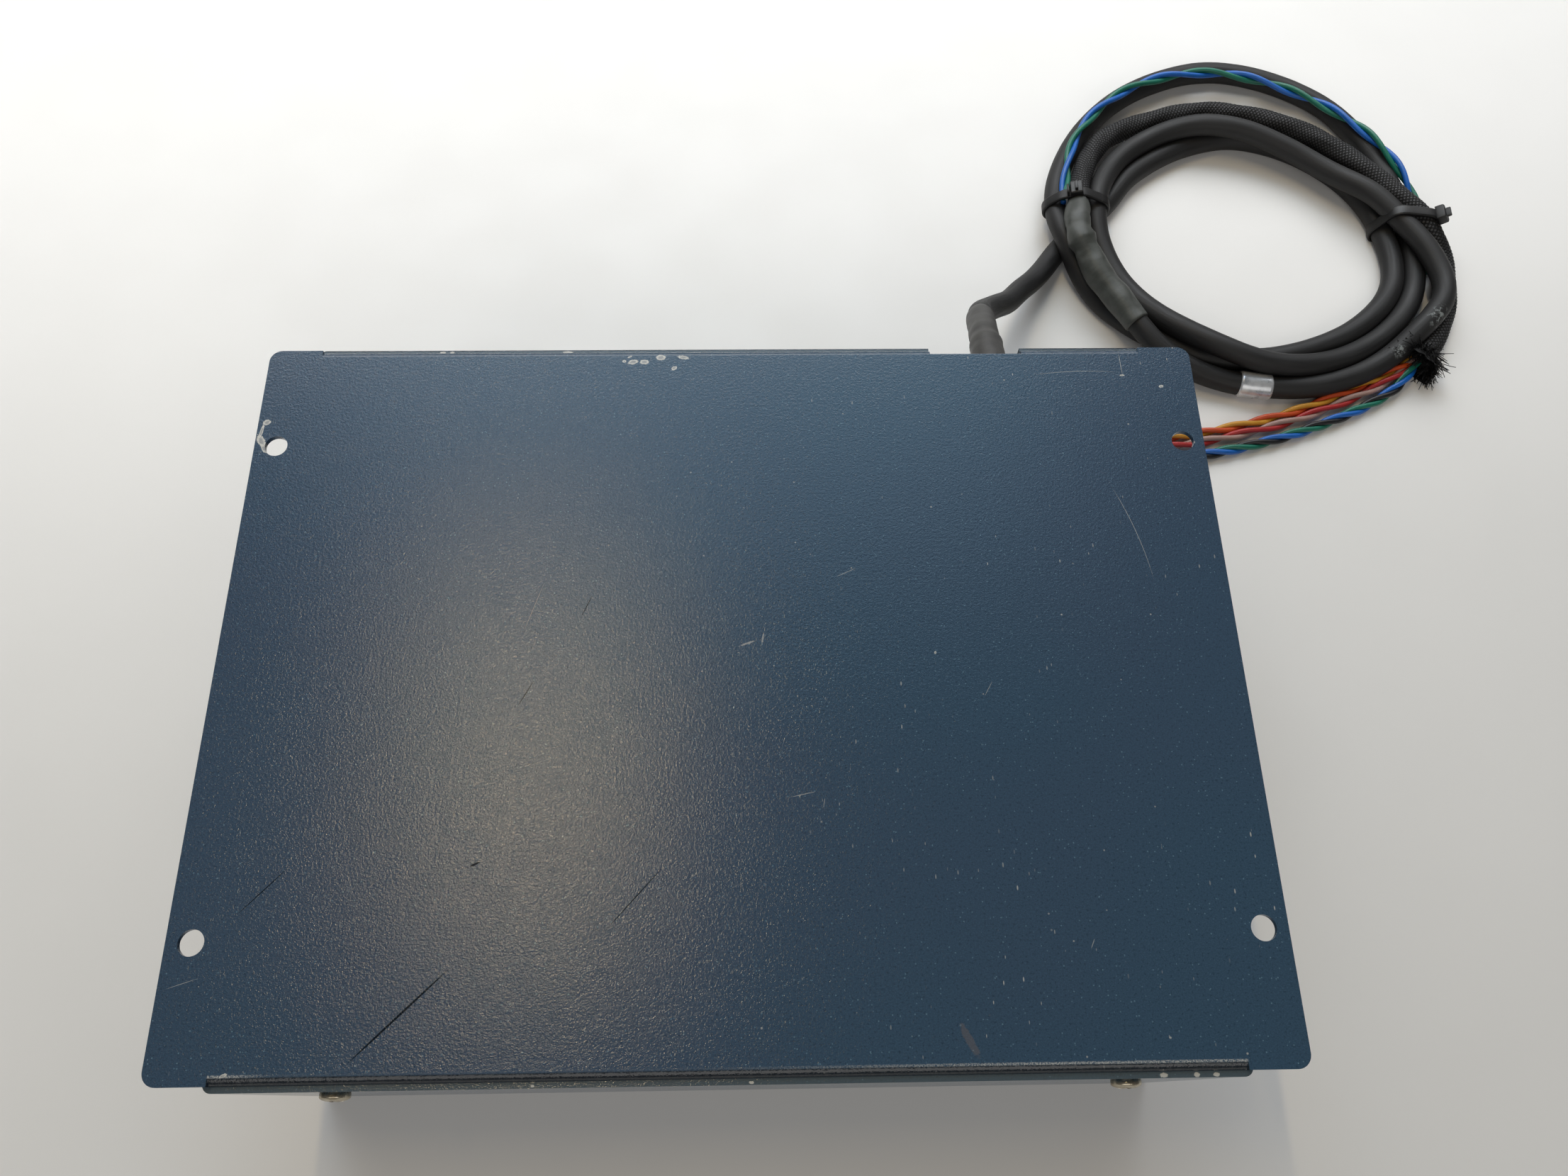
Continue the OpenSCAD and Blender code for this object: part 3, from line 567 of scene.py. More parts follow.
def metal(name, colour, rough=0.3, lines=(60, 60, 900), tarnish=None):
    """Plated or rolled metal: fine lines one way, patches of duller plating."""
    f = Finish(name, Metallic=1.0)
    line = f.noise(1, 3, 0.6, f.stretch(f.place, scale=lines))
    patch = f.noise(260, 4, 0.65)
    dull = tarnish or tuple(c * 0.62 for c in colour)
    tone = f.blend(f.span(patch, 0.42, 0.7, 0, 0.75), colour, dull)
    surface = f.math("ADD", f.middle(line, rough - 0.07, rough + 0.06),
                     f.span(patch, 0.45, 0.7, 0, 0.14))
    return f.use(tone, surface, f.math("ADD", line, patch), 0.01 * MM)


def circuit_board():
    """Solder mask over tracks and pads."""
    f = Finish("solder_mask", IOR=1.5)
    tracks = f.cells(190, f.stretch(f.place, scale=(1, 0.35, 1)), spread=0.35)
    cross = f.cells(150, f.stretch(f.place, scale=(0.3, 1, 1)), spread=0.35)
    copper = f.most(f.span(tracks, 0.3, 0.36), f.span(cross, 0.3, 0.36))
    colour = f.blend(copper, srgb(18, 70, 42), srgb(34, 104, 62))
    pads = f.times(f.span(f.cells(300), 0.24, 0.18),
                   f.span(f.cells(300, output="Color"), 0.55, 0.6))
    colour = f.blend(pads, colour, srgb(190, 186, 172))
    return f.use(colour, f.span(copper, 0, 1, 0.3, 0.38), f.math("ADD", copper, pads),
                 0.04 * MM)


def inside_outline(f, x, y, node, grown=0.0):
    """How far a point is inside a node's outline seen along Z, grown on every side."""
    low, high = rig.box(node)
    depths = []
    for at, start, end in ((x, low[0], high[0]), (y, low[1], high[1])):
        away = f.math("ABSOLUTE", f.math("SUBTRACT", at, (start + end) / 2))
        depths.append(f.math("SUBTRACT", (end - start) / 2 + grown, away))
    return f.math("MINIMUM", *depths)


def label_finish():
    """Blank silver polyester label with a printed frame and a printed head band."""
    f = Finish("blank_label_film", IOR=1.5)
    x, y = f.part(f.place, "X"), f.part(f.place, "Y")
    inset = inside_outline(f, x, y, "blank_label")
    frame_line = f.times(f.span(inset, 0.0030, 0.0032), f.span(inset, 0.0042, 0.0040))
    head = f.times(f.span(y, 0.0300, 0.0302), f.span(inset, 0.0040, 0.0042))
    tone = f.blend(f.middle(f.noise(40, 4, 0.6)), srgb(196, 198, 198), srgb(214, 215, 214))
    tone = f.blend(f.most(frame_line, head), tone, srgb(38, 58, 84))
    tone = f.specked(tone, srgb(120, 120, 116), 0.5, (700, 4, 0.75), (0.64, 0.76))
    return f.use(tone, f.middle(f.noise(90, 3), 0.3, 0.44), f.noise(900, 3, 0.6), 0.02 * MM)


def panel_finish():
    """Dark printed panel film with white outlines around its controls."""
    f = Finish("panel_print", IOR=1.5)
    tone = f.blend(f.middle(f.noise(180, 4, 0.6)), srgb(30, 33, 36), srgb(40, 43, 47))
    x, y = f.part(f.place, "X"), f.part(f.place, "Y")
    for node, gap in (("dip_switch", 1.6), ("address_switch", 1.4), ("setup_port", 1.4)):
        edge = f.math("ABSOLUTE", inside_outline(f, x, y, node, gap * MM))
        tone = f.blend(f.span(edge, 0.0003, 0.0002), tone, srgb(222, 224, 222))
    tone = f.specked(tone, srgb(140, 140, 138), 0.3, (900, 4, 0.75), (0.66, 0.78))
    return f.use(tone, f.middle(f.noise(300, 3), 0.34, 0.48), f.noise(1600, 3, 0.6), 0.03 * MM)


def led_finish():
    """Tinted epoxy: the two lamps on one side are green, the two on the other red."""
    f = Finish("led_lens_epoxy", IOR=1.53, Transmission_Weight=0.35)
    green = f.span(f.part(f.place, "X"), -0.006, -0.005)
    tone = f.blend(green, srgb(150, 26, 22), srgb(38, 128, 46))
    tone = f.specked(tone, srgb(240, 238, 225), 0.25, (900, 3), (0.35, 0.7))
    return f.use(tone, f.middle(f.noise(500, 3), 0.14, 0.24), f.noise(1500, 2), 0.01 * MM)


def ribbon_finish():
    """Flat grey ribbon: ribs over its conductors and one red edge."""
    f = Finish("ribbon_pvc", IOR=1.5)
    low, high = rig.box("ribbon_cable")
    wide = 0 if high[0] - low[0] > high[1] - low[1] else 1
    across = f.part(f.place, "XY"[wide])
    rib = f.math("SINE", f.times(across, 2 * math.pi / RIBBON_PITCH))
    red = f.span(across, low[wide] + 1.5 * MM, low[wide] + 1.2 * MM)
    # Painted shade and highlight: the grooves between the ribs darker, their crests lighter
    tone = f.blend(f.span(rib, -1, 0.4), srgb(120, 122, 124), srgb(168, 170, 172))
    tone = f.blend(red, tone, srgb(170, 44, 40))
    return f.use(tone, f.middle(f.noise(400, 3), 0.4, 0.52), rib, 0.2 * MM)


def winding_finish():
    """Enamelled copper wound around a core."""
    f = Finish("enamelled_copper", Metallic=0.8)
    turns = f.math("SINE", f.times(f.part(f.place, "Z"), 2 * math.pi / WINDING_PITCH))
    # Painted shade and highlight: dark brown in the grooves between turns, bright copper on their crests
    tone = f.blend(f.span(turns, -1, 0.3), srgb(84, 34, 14), srgb(190, 104, 52))
    return f.use(tone, f.middle(f.noise(500, 3), 0.26, 0.4), turns, 0.3 * MM)


def wire_finish(name, colour):
    """Wire insulation with faint drawing lines along it."""
    f = Finish(name, IOR=1.5)
    run = f.cord_noise(3, 140)
    tone = f.blend(f.middle(run), tuple(c * 0.8 for c in colour), colour)
    tone = f.specked(tone, srgb(170, 170, 165), 0.3, (1100, 3, 0.7), (0.64, 0.8))
    return f.use(tone, f.middle(run, 0.34, 0.5), run, 0.04 * MM)


def marker_finish():
    """Silver film of the blank marker sleeve."""
    f = Finish("marker_foil", IOR=1.5, Metallic=0.55)
    run = f.cord_noise(4, 120, 3)
    tone = f.blend(f.middle(run), srgb(178, 182, 188), srgb(226, 228, 230))
    tone = f.specked(tone, srgb(120, 122, 126), 0.5, (900, 4, 0.7), (0.6, 0.76))
    return f.use(tone, f.middle(run, 0.24, 0.4), run, 0.05 * MM)


def floor_finish():
    """Pale laminate table top, a little glossy."""
    f = Finish("table_top", IOR=1.45)
    colour = f.blend(f.middle(f.noise(3, 4, 0.6)), srgb(230, 229, 227), srgb(234, 233, 231))
    return f.use(colour, f.middle(f.noise(30, 3), 0.38, 0.46), f.noise(900, 2), 0.01 * MM)


FINISH = {
    "blue_powder_coat": powder_coat("powder_coat", False),
    "plated_screw": metal("nickel_plate", srgb(186, 178, 160), 0.26, tarnish=srgb(120, 104, 78)),
    "zinc_steel": metal("zinc_plate", srgb(176, 178, 176), 0.34, tarnish=srgb(122, 122, 116)),
    "label_film": label_finish(),
    "panel_film": panel_finish(),
    "aluminium": metal("extruded_aluminium", srgb(190, 193, 196), 0.36, lines=(40, 40, 1200)),
    "black_moulding": plastic("black_moulding_grain", srgb(26, 27, 28)),
    "gold_anodised": metal("gold_anodised_skin", srgb(196, 156, 72), 0.38),
    "green_board": circuit_board(),
    "brass": metal("brass_rod", srgb(200, 170, 96), 0.28, tarnish=srgb(130, 100, 52)),
    "capacitor_sleeve": plastic("capacitor_film", srgb(20, 36, 62), rough=0.3),
    "copper_winding": winding_finish(),
    "yellow_film": plastic("yellow_tape", srgb(196, 168, 40), rough=0.36),
    "blue_moulding": plastic("blue_box", srgb(34, 70, 140)),
    "ceramic": plastic("glazed_ceramic", srgb(206, 202, 190), rough=0.3),
    "green_moulding": plastic("green_block", srgb(28, 112, 62)),
    "led_lens": led_finish(),
    "red_moulding": plastic("red_block", srgb(150, 30, 26)),
    "white_moulding": plastic("white_nylon", srgb(214, 212, 204)),
    "orange_moulding": plastic("orange_dial", srgb(206, 96, 30)),
    "grey_ribbon": ribbon_finish(),
    "shrink_sleeve": shrink("boot_shrink", srgb(56, 55, 55), srgb(73, 72, 70)),
    "cable_jacket": jacket(),
    "black_nylon": plastic("black_tie_nylon", srgb(8, 8, 9), srgb(12, 12, 13), rough=0.46),
    "braid": braid_finish(),
    "wire_insulation": wire_finish("orange_wire", srgb(196, 74, 26)),
}
PLATE_PAINT = powder_coat("plate_powder_coat", True)
GOLD = metal("gold_flash", srgb(214, 172, 84), 0.24)
HUB_FILM = plastic("hub_film", srgb(176, 178, 178), rough=0.34)
SHRINK_BREAKOUT = shrink("breakout_shrink", srgb(60, 63, 60), srgb(76, 79, 76))
MARKER_FOIL = marker_finish()
WIRE = {
    "orange": FINISH["wire_insulation"],
    "yellow": wire_finish("yellow_wire", srgb(200, 142, 40)),
    "red": wire_finish("red_wire", srgb(168, 38, 38)),
    "pink": wire_finish("white_red_wire", srgb(164, 132, 124)),
    "blue": wire_finish("blue_wire", srgb(16, 98, 186)),
    "green": wire_finish("green_wire", srgb(16, 110, 90)),
    "black": wire_finish("black_wire", srgb(16, 18, 22)),
}

# ---------- curves and tubes ----------


def smooth_curve(points):
    """Dense Catmull-Rom curve through points."""
    p = np.asarray(points, float)
    p = np.vstack([2 * p[0] - p[1], p, 2 * p[-1] - p[-2]])
    t = np.linspace(0, 1, 14, endpoint=False)[:, None]
    spans = [
        0.5 * (2 * b + (c - a) * t + (2 * a - 5 * b + 4 * c - d) * t**2
               + (3 * b - a - 3 * c + d) * t**3)
        for a, b, c, d in zip(p, p[1:], p[2:], p[3:])
    ]
    return np.vstack([*spans, p[-2][None]])


def arc_lengths(path):
    return np.concatenate([[0], np.cumsum(np.linalg.norm(np.diff(path, axis=0), axis=1))])


def evenly(path, step):
    """The same line with its points a step apart."""
    arc = arc_lengths(path)
    at = np.linspace(0, arc[-1], max(3, int(round(arc[-1] / step)) + 1))
    return np.column_stack([np.interp(at, arc, path[:, k]) for k in range(3)])


def eased(path, rounds):
    """path with its kinks averaged out, its ends kept."""
    path = path.copy()
    for _ in range(rounds):
        path[1:-1] = 0.25 * path[:-2] + 0.5 * path[1:-1] + 0.25 * path[2:]
    return path


def unit(v):
    return v / np.maximum(np.linalg.norm(v, axis=-1, keepdims=True), 1e-12)


def carried_frames(path):
    """Two normals that don't twist, at each point of a path."""
    tangent = unit(np.gradient(path, axis=0))
    start = np.cross(tangent[0], (0, 0, 1.0))
    if np.linalg.norm(start) < 1e-6:
        start = np.array((1.0, 0, 0))
    normal = np.zeros_like(path)
    normal[0] = unit(start)
    for i in range(1, len(path)):
        n = normal[i - 1] - tangent[i] * np.dot(normal[i - 1], tangent[i])
        normal[i] = unit(n)
    return normal, np.cross(tangent, normal)


def make_object(name, verts, faces, materials, face_uv=None, face_material=None):
    mesh = bpy.data.meshes.new(name)
    mesh.from_pydata([tuple(v) for v in verts], [], faces)
    if face_uv is not None:
        layer = mesh.uv_layers.new(name="UVMap")
        layer.data.foreach_set("uv", np.asarray(face_uv, np.float32).ravel())
    for material in materials:
        mesh.materials.append(material)
    if face_material is not None:
        mesh.polygons.foreach_set("material_index", np.asarray(face_material, np.int32))
    mesh.polygons.foreach_set("use_smooth", [True] * len(mesh.polygons))
    mesh.update()
    thing = bpy.data.objects.new(name, mesh)
    bpy.context.scene.collection.objects.link(thing)
    return thing


def tube_parts(path, radius, sides, relief=None, first_vertex=0, capped=True):
    """Vertices, faces and face corners' UVs of a tube. The U runs around from 0 to 1 and
    the V along the tube in metres. relief(arc, angle) is added to the radius."""
    normal, binormal = carried_frames(path)
    arc = arc_lengths(path)
    angle = np.arange(sides) * 2 * math.pi / sides
    r = np.broadcast_to(np.asarray(radius, float).reshape(-1, 1), (len(path), sides)).copy()
    if relief is not None:
        r += relief(arc[:, None], angle[None, :])
    cosine, sine = np.cos(angle)[None, :, None], np.sin(angle)[None, :, None]
    outward = cosine * normal[:, None, :] + sine * binormal[:, None, :]
    ring = path[:, None, :] + r[..., None] * outward
    faces, uv = [], []
    for i in range(len(path) - 1):
        low, high = arc[i], arc[i + 1]
        for k in range(sides):
            m = (k + 1) % sides
            a, b = first_vertex + i * sides, first_vertex + (i + 1) * sides
            faces.append((a + k, b + k, b + m, a + m))
            uv += [(k / sides, low), (k / sides, high), ((k + 1) / sides, high),
                   ((k + 1) / sides, low)]
    if capped:
        last = first_vertex + (len(path) - 1) * sides
        faces.append(tuple(first_vertex + k for k in range(sides)))
        faces.append(tuple(last + k for k in range(sides - 1, -1, -1)))
        uv += [(0.5, 0.0)] * sides + [(0.5, arc[-1])] * sides
    return ring.reshape(-1, 3), faces, uv


def tube(name, path, radius, sides, material, relief, capped=True):
    verts, faces, uv = tube_parts(path, radius, sides, relief, capped=capped)
    return make_object(name, verts, faces, [material], uv)


class Bundle:
    """Tubes gathered into one mesh."""

    def __init__(self):
        self.verts, self.faces, self.uv, self.slots = [], [], [], []

    def add(self, path, radius, sides, slot=0, **how):
        made, faces, uv = tube_parts(path, radius, sides, first_vertex=len(self.verts), **how)
        self.verts += list(made)
        self.faces += faces
        self.uv += uv
        self.slots += [slot] * len(faces)

    def make(self, name, materials):
        return make_object(name, self.verts, self.faces, materials, self.uv, self.slots)


def soft_noise(scale_along, scale_around, depth, seed):
    """Relief of slow random swells, depth in metres."""
    def relief(arc, angle):
        out = np.zeros(np.broadcast(arc, angle).shape)
        for i in range(out.shape[0]):
            for k in range(out.shape[1]):
                a = angle[0, k]
                spot = Vector((arc[i, 0] * scale_along, math.cos(a) * scale_around + seed,
                               math.sin(a) * scale_around))
                out[i, k] = noise.noise(spot) * depth
        return out
    return relief


# ---------- the cable and its coil ----------

CABLE_R = 4.75 * MM
PAIR_R = 2.1 * MM
COIL_MID = np.array((228, 244)) * MM
STEP = 4 * MM
# How the strands settle: points of one strand nearer than NEIGHBOUR don't push each other,
# and each round sinks them by SINK and keeps PULL_BACK of their sideways shift
SETTLE_ROUNDS = 260
NEIGHBOUR = 32 * MM
SINK = 0.03 * MM
PULL_BACK = 0.995

# Stations every 30 degrees, going round clockwise from STATION_START: distance from the
# coil's middle and height, in millimetres. Nearly three turns of the sheathed cable.
STATION_START = 150
TURN_STATIONS = [
    (56, 5), (50, 5), (49, 5), (49, 5), (53, 5), (61, 5),
    (71, 5), (72, 5), (74, 5), (79, 5), (83, 6), (87, 15),
    (85, 15), (88, 11), (91, 8), (86, 6), (79, 6), (78, 6),
    (80, 6), (79, 10), (79, 14), (75, 14), (71, 14), (70, 16),
    (63, 15), (55, 15), (48, 15), (45, 15), (49, 15), (66, 18),
    (92, 16), (88, 8), (86, 5), (84, 10), (79, 17),
]
BRAID_STATIONS = [(75, 17), (68, 14), (65, 13), (62, 14), (61, 16)]
PAIR_STATIONS = [(84, 22), (85.5, 20), (85, 18), (81.5, 16), (77.5, 15), (79, 6)]

# Route of the sheathed cable from its clamp to the coil, as in the part's own source
LEAD_ROUTE = [
    (90, 86, 82), (90, 102, 82), (90, 116, 81), (90, 130, 76),
    (91, 142, 69), (92, 152, 62), (96, 164, 52), (104, 175, 43),
    (112, 185, 34), (120, 197, 26), (129, 208, 19), (137, 219, 13),
    (146, 231, 8), (156, 244, 5.5), (167, 256, 5),
]
SLEEVE_ROUTE = [
    (303, 238, 10), (311, 226, 5.2), (311, 213, 5.2), (308, 199, 5.2), (300, 184, 5.2),
    (290, 170, 5.2),
]
MOUTH_ROUTE = [(297, 179, 5.2), (293, 173, 5)]
WIRE_ROUTE = [
    (289, 169, 4.5), (280, 162, 3), (267, 155, 2.2), (251, 148, 2.2),
    (232, 141, 2.2), (214, 136, 2.2), (196, 132, 2.2), (178, 129, 2.2),
    (164, 127, 2.2),
]
# How far each point of the wire route fans out to either side
WIRE_FAN = [1.5, 4.2, 5, 5.2, 5.2, 5.2, 5.2, 5.2, 5.2]
TIE_ANGLES = (178, -4)
SPLIT = (146.5, 230, 23)
PAIR_START = (146, 244.6, 21)
PAIR_END = [(305, 227, 2.4), (305, 219, 2.4)]


def around_coil(stations):
    """Points of a strand that goes clockwise round the coil, one for each station."""
    points = []
    for i, (reach, height) in enumerate(stations):
        angle = math.radians(STATION_START - 30 * i)
        x = COIL_MID[0] + reach * MM * math.cos(angle)
        y = COIL_MID[1] + reach * MM * math.sin(angle)
        points.append((x, y, height * MM))
    return points


def to_metres(route):
    return [tuple(c * MM for c in p) for p in route]


def settle(strands, radii, held):
    """Strands drop onto the table and each other, and push apart where they overlap,
    staying near the plan they were laid to. held: how many points at the start of each
    strand stay where they are."""
    starts = np.cumsum([0] + [len(s) for s in strands])
    plan = np.vstack(strands)
    reach = np.concatenate([np.full(len(s), r) for s, r in zip(strands, radii)])
    strand = np.concatenate([np.full(len(s), i) for i, s in enumerate(strands)])
    index = np.arange(len(plan))
    fixed = np.zeros(len(plan), bool)
    for count, start in zip(held, starts):
        fixed[start:start + count] = True
    gap = np.abs(index[:, None] - index[None, :])
    same = strand[:, None] == strand[None, :]
    apart = ~(same & (gap * STEP < NEIGHBOUR))
    need = reach[:, None] + reach[None, :]
    moved = np.zeros_like(plan)
    for _ in range(SETTLE_ROUNDS):
        p = plan + moved
        delta = p[:, None, :] - p[None, :, :]
        distance = np.sqrt((delta**2).sum(-1)) + 1e-9
        overlap = np.where(apart, np.maximum(need - distance, 0), 0)
        push = (delta * (overlap / distance)[..., None]).sum(1)
        touching = np.maximum((overlap > 0).sum(1), 1)[:, None]
        moved += 0.5 * push / touching
        moved[:, 2] -= SINK
        moved[:, :2] *= PULL_BACK
        moved[fixed] = 0
        for s in range(len(strands)):
            part = moved[starts[s]:starts[s + 1]]
            part[1:-1] = 0.25 * part[:-2] + 0.5 * part[1:-1] + 0.25 * part[2:]
        moved[fixed] = 0
        moved[:, 2] = np.maximum(moved[:, 2], reach - plan[:, 2])
    p = plan + moved
    return [p[a:b] for a, b in zip(starts, starts[1:])]


CABLE_PLAN = to_metres(LEAD_ROUTE) + around_coil(TURN_STATIONS) + to_metres([SPLIT])
BRAID_PLAN = to_metres([SPLIT]) + around_coil(BRAID_STATIONS) + to_metres(SLEEVE_ROUTE)
PAIR_PLAN = to_metres([PAIR_START]) + around_coil(PAIR_STATIONS) + to_metres(PAIR_END)
CABLE, BRAID, LOOSE_PAIR = settle(
    [evenly(eased(smooth_curve(p), 6), STEP) for p in (CABLE_PLAN, BRAID_PLAN, PAIR_PLAN)],
    (CABLE_R, CABLE_R, PAIR_R),
    (20, 0, 0),
)

# ---------- pieces on the cable ----------

# Where the shrink boot starts at the far edge's slot
SLOT_Y = 112.6 * MM
# Degrees round the coil from the marker sleeve to the cable's end
MARKER_BEFORE_END = 71
HAIRS = 760
HAIR_LOWEST = 0.15 * MM


def place_on(thing, slot_name, *nodes, body="drive"):
    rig.ride(thing, body)
    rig.slot(thing, slot_name)
    if nodes:
        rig.replaces(thing, *nodes)
    return thing


def stretch_of(path, low, high, step=0.7 * MM):
    """The part of a path between two arc lengths, finely divided."""
    arc = arc_lengths(path)
    at = np.linspace(low, high, max(4, int((high - low) / step)))
    return np.column_stack([np.interp(at, arc, path[:, k]) for k in range(3)])


def make_cable():
    path = evenly(CABLE, 3 * MM)
    swell = soft_noise(60, 0.6, 0.16 * MM, 3)
    thing = tube("sheathed_cable", path, CABLE_R, 24, FINISH["cable_jacket"], swell)
    return place_on(thing, "cable_jacket", "cable_lead", "cable_coil"), path


def braid_relief(arc, angle):
    around = angle * BRAID_CARRIERS / 2
    along = arc * math.pi / BRAID_PITCH
    weave = np.abs(np.sin(around + along) * np.sin(around - along))
    crumple = 0.35 * MM * np.sin(arc * 210 + 2 * angle) * np.sin(arc * 77 + angle)
    return 0.4 * MM * weave + crumple


def make_braid():
    step = 0.62 * MM
    path = evenly(eased(evenly(BRAID, step), 40), step)
    thing = tube("braided_sleeving", path, CABLE_R - 0.3 * MM, 64, FINISH["braid"],
                 braid_relief, capped=False)
    return place_on(thing, "braid", "braided_sleeve"), path


def grounded(path):
    """path lifted off the table where it would sink in."""
    path = path.copy()
    path[..., 2] = np.maximum(path[..., 2], HAIR_LOWEST)
    return path


def make_fray(path):
    """Flared, cut end of the braid: its loose filaments spread round the mouth."""
    tip = path[-1]
    heading = unit(path[-1] - path[-12])
    side = unit(np.cross(heading, (0, 0, 1.0)))
    up = np.cross(side, heading)
    fray = Bundle()
    back = evenly(np.array([tip - heading * 9 * MM, tip, tip + heading * 3 * MM]), 0.7 * MM)
    radius = CABLE_R + np.linspace(0, 1, len(back)) ** 2 * 4.6 * MM

    def skirt(arc, angle):
        torn = np.sin(angle * 5 + 1) * 0.5 + np.sin(angle * 11) * 0.35
        return torn * MM * (arc / arc.max()) ** 2 + braid_relief(arc, angle)

    fray.add(back, radius, 48, relief=skirt, capped=False)
    t = np.linspace(0, 1, 7)[:, None]
    thick = np.linspace(0.24, 0.13, 7) * MM
    for i in range(HAIRS):
        angle = 2 * math.pi * i / HAIRS + RANDOM.normal(0, 0.05)
        out = math.cos(angle) * side + math.sin(angle) * up
        spread = RANDOM.uniform(-0.5, 1.9)
        length = RANDOM.uniform(3.5, 9.5) * MM
        start = tip - heading * RANDOM.uniform(2, 7) * MM + out * (CABLE_R + 0.2 * MM)
        bend = unit(heading + spread * out + RANDOM.normal(0, 0.25, 3))
        curl = RANDOM.normal(0, 0.45, 3)
        fray.add(start + length * (t * bend + t**2 * 0.5 * curl), thick, 5)
    fray.verts = grounded(np.array(fray.verts))
    return place_on(fray.make("frayed_braid_end", [FINISH["braid"]]), "braid")


def twisted(name, path, pitch, colours, wire_r, offset, start_turn=0.0):
    """Wires wound round a shared line. Each wire keeps its own colour."""
    path = evenly(path, 0.9 * MM)
    normal, binormal = carried_frames(path)
    arc = arc_lengths(path)
    wires = Bundle()
    for i in range(len(colours)):
        turn = 2 * math.pi * (arc / pitch + i / len(colours)) + start_turn
        away = np.cos(turn)[:, None] * normal + np.sin(turn)[:, None] * binormal
        wires.add(path + offset * away, wire_r, 10, slot=i)
    return wires.make(name, colours), path


def signal_route(side):
    """One of the three wire sets: from inside the braid's mouth to its hidden tip."""
    fanned = [(x, y + side * fan, max(z, 2.2))
              for (x, y, z), fan in zip(WIRE_ROUTE, WIRE_FAN)]
    return evenly(smooth_curve(to_metres(MOUTH_ROUTE + fanned)), 2 * MM)


def swelling(t, middle, width, height):
    """A smooth swelling round t = middle, in millimetres."""
    return height * MM * np.exp(-((t - middle) / width) ** 2)


def make_boot():
    """Shrink sleeve from the slot to the cable's bend, slack and open at its mouth."""
    arc = arc_lengths(CABLE)
    first = np.argmax(CABLE[:, 1] > SLOT_Y)
    path = stretch_of(CABLE, arc[first], arc[first] + 44 * MM)
    t = np.linspace(0, 1, len(path))
    radius = CABLE_R + (0.55 + 0.75 * (1 - t) ** 2) * MM
    radius += np.where(t > 0.985, -0.35 * MM, 0)
    radius += swelling(t, 0.38, 0.05, 0.35) - swelling(t, 0.47, 0.04, 0.2)
    wrinkle = soft_noise(180, 0.9, 0.32 * MM, 11)
    thing = tube("boot_shrink_sleeve", path, radius, 40, FINISH["shrink_sleeve"], wrinkle)
    return place_on(thing, "shrink_sleeve", "cable_boot")


def make_breakout():
    """Lumpy shrink sleeve where the sheath ends and the inner leads part."""
    total = arc_lengths(CABLE)[-1]
    tail = stretch_of(CABLE, total - 47 * MM, total)
    head = stretch_of(BRAID, 0.7 * MM, 9 * MM)
    path = eased(evenly(np.vstack([tail, head]), 0.7 * MM), 12)
    t = np.linspace(0, 1, len(path))
    thicker = np.interp(t, [0, 0.5, 0.62, 0.68, 0.76, 0.84, 1],
                        [1.05, 1.25, 0.25, 1.55, 0.45, 1.05, 0.25])
    radius = CABLE_R + thicker * MM
    radius[0] -= 0.25 * MM
    wrinkle = soft_noise(120, 1.0, 0.75 * MM, 23)
    thing = tube("breakout_sleeve", path, radius, 40, SHRINK_BREAKOUT, wrinkle)
    return place_on(thing, "shrink_sleeve")


def make_marker():
    """Blank silver marker sleeve, on the last turn before the split."""
    away = CABLE[:, :2] - COIL_MID
    angles = np.degrees(np.unwrap(np.arctan2(away[:, 1], away[:, 0])))
    last_turn = angles < angles[-1] + 300
    off = np.abs(angles - (angles[-1] + MARKER_BEFORE_END))
    middle = arc_lengths(CABLE)[np.argmin(np.where(last_turn, off, np.inf))]
    path = stretch_of(CABLE, middle - 6.5 * MM, middle + 6.5 * MM, 0.6 * MM)
    radius = np.full(len(path), CABLE_R + 0.75 * MM)
    radius[[0, -1]] -= 0.2 * MM
    wrinkle = soft_noise(90, 0.8, 0.12 * MM, 31)
    thing = tube("blank_marker_sleeve", path, radius, 48, MARKER_FOIL, wrinkle)
    return place_on(thing, "label_film")


def hull_2d(points):
    """Convex hull of 2-D points, anticlockwise."""
    points = sorted(map(tuple, points))

    def half(seq):
        out = []
        for p in seq:
            while len(out) > 1 and ((out[-1][0] - out[-2][0]) * (p[1] - out[-2][1])
                                    - (out[-1][1] - out[-2][1]) * (p[0] - out[-2][0])) <= 0:
                out.pop()
            out.append(p)
        return out[:-1]
    return np.array(half(points) + half(points[::-1]))


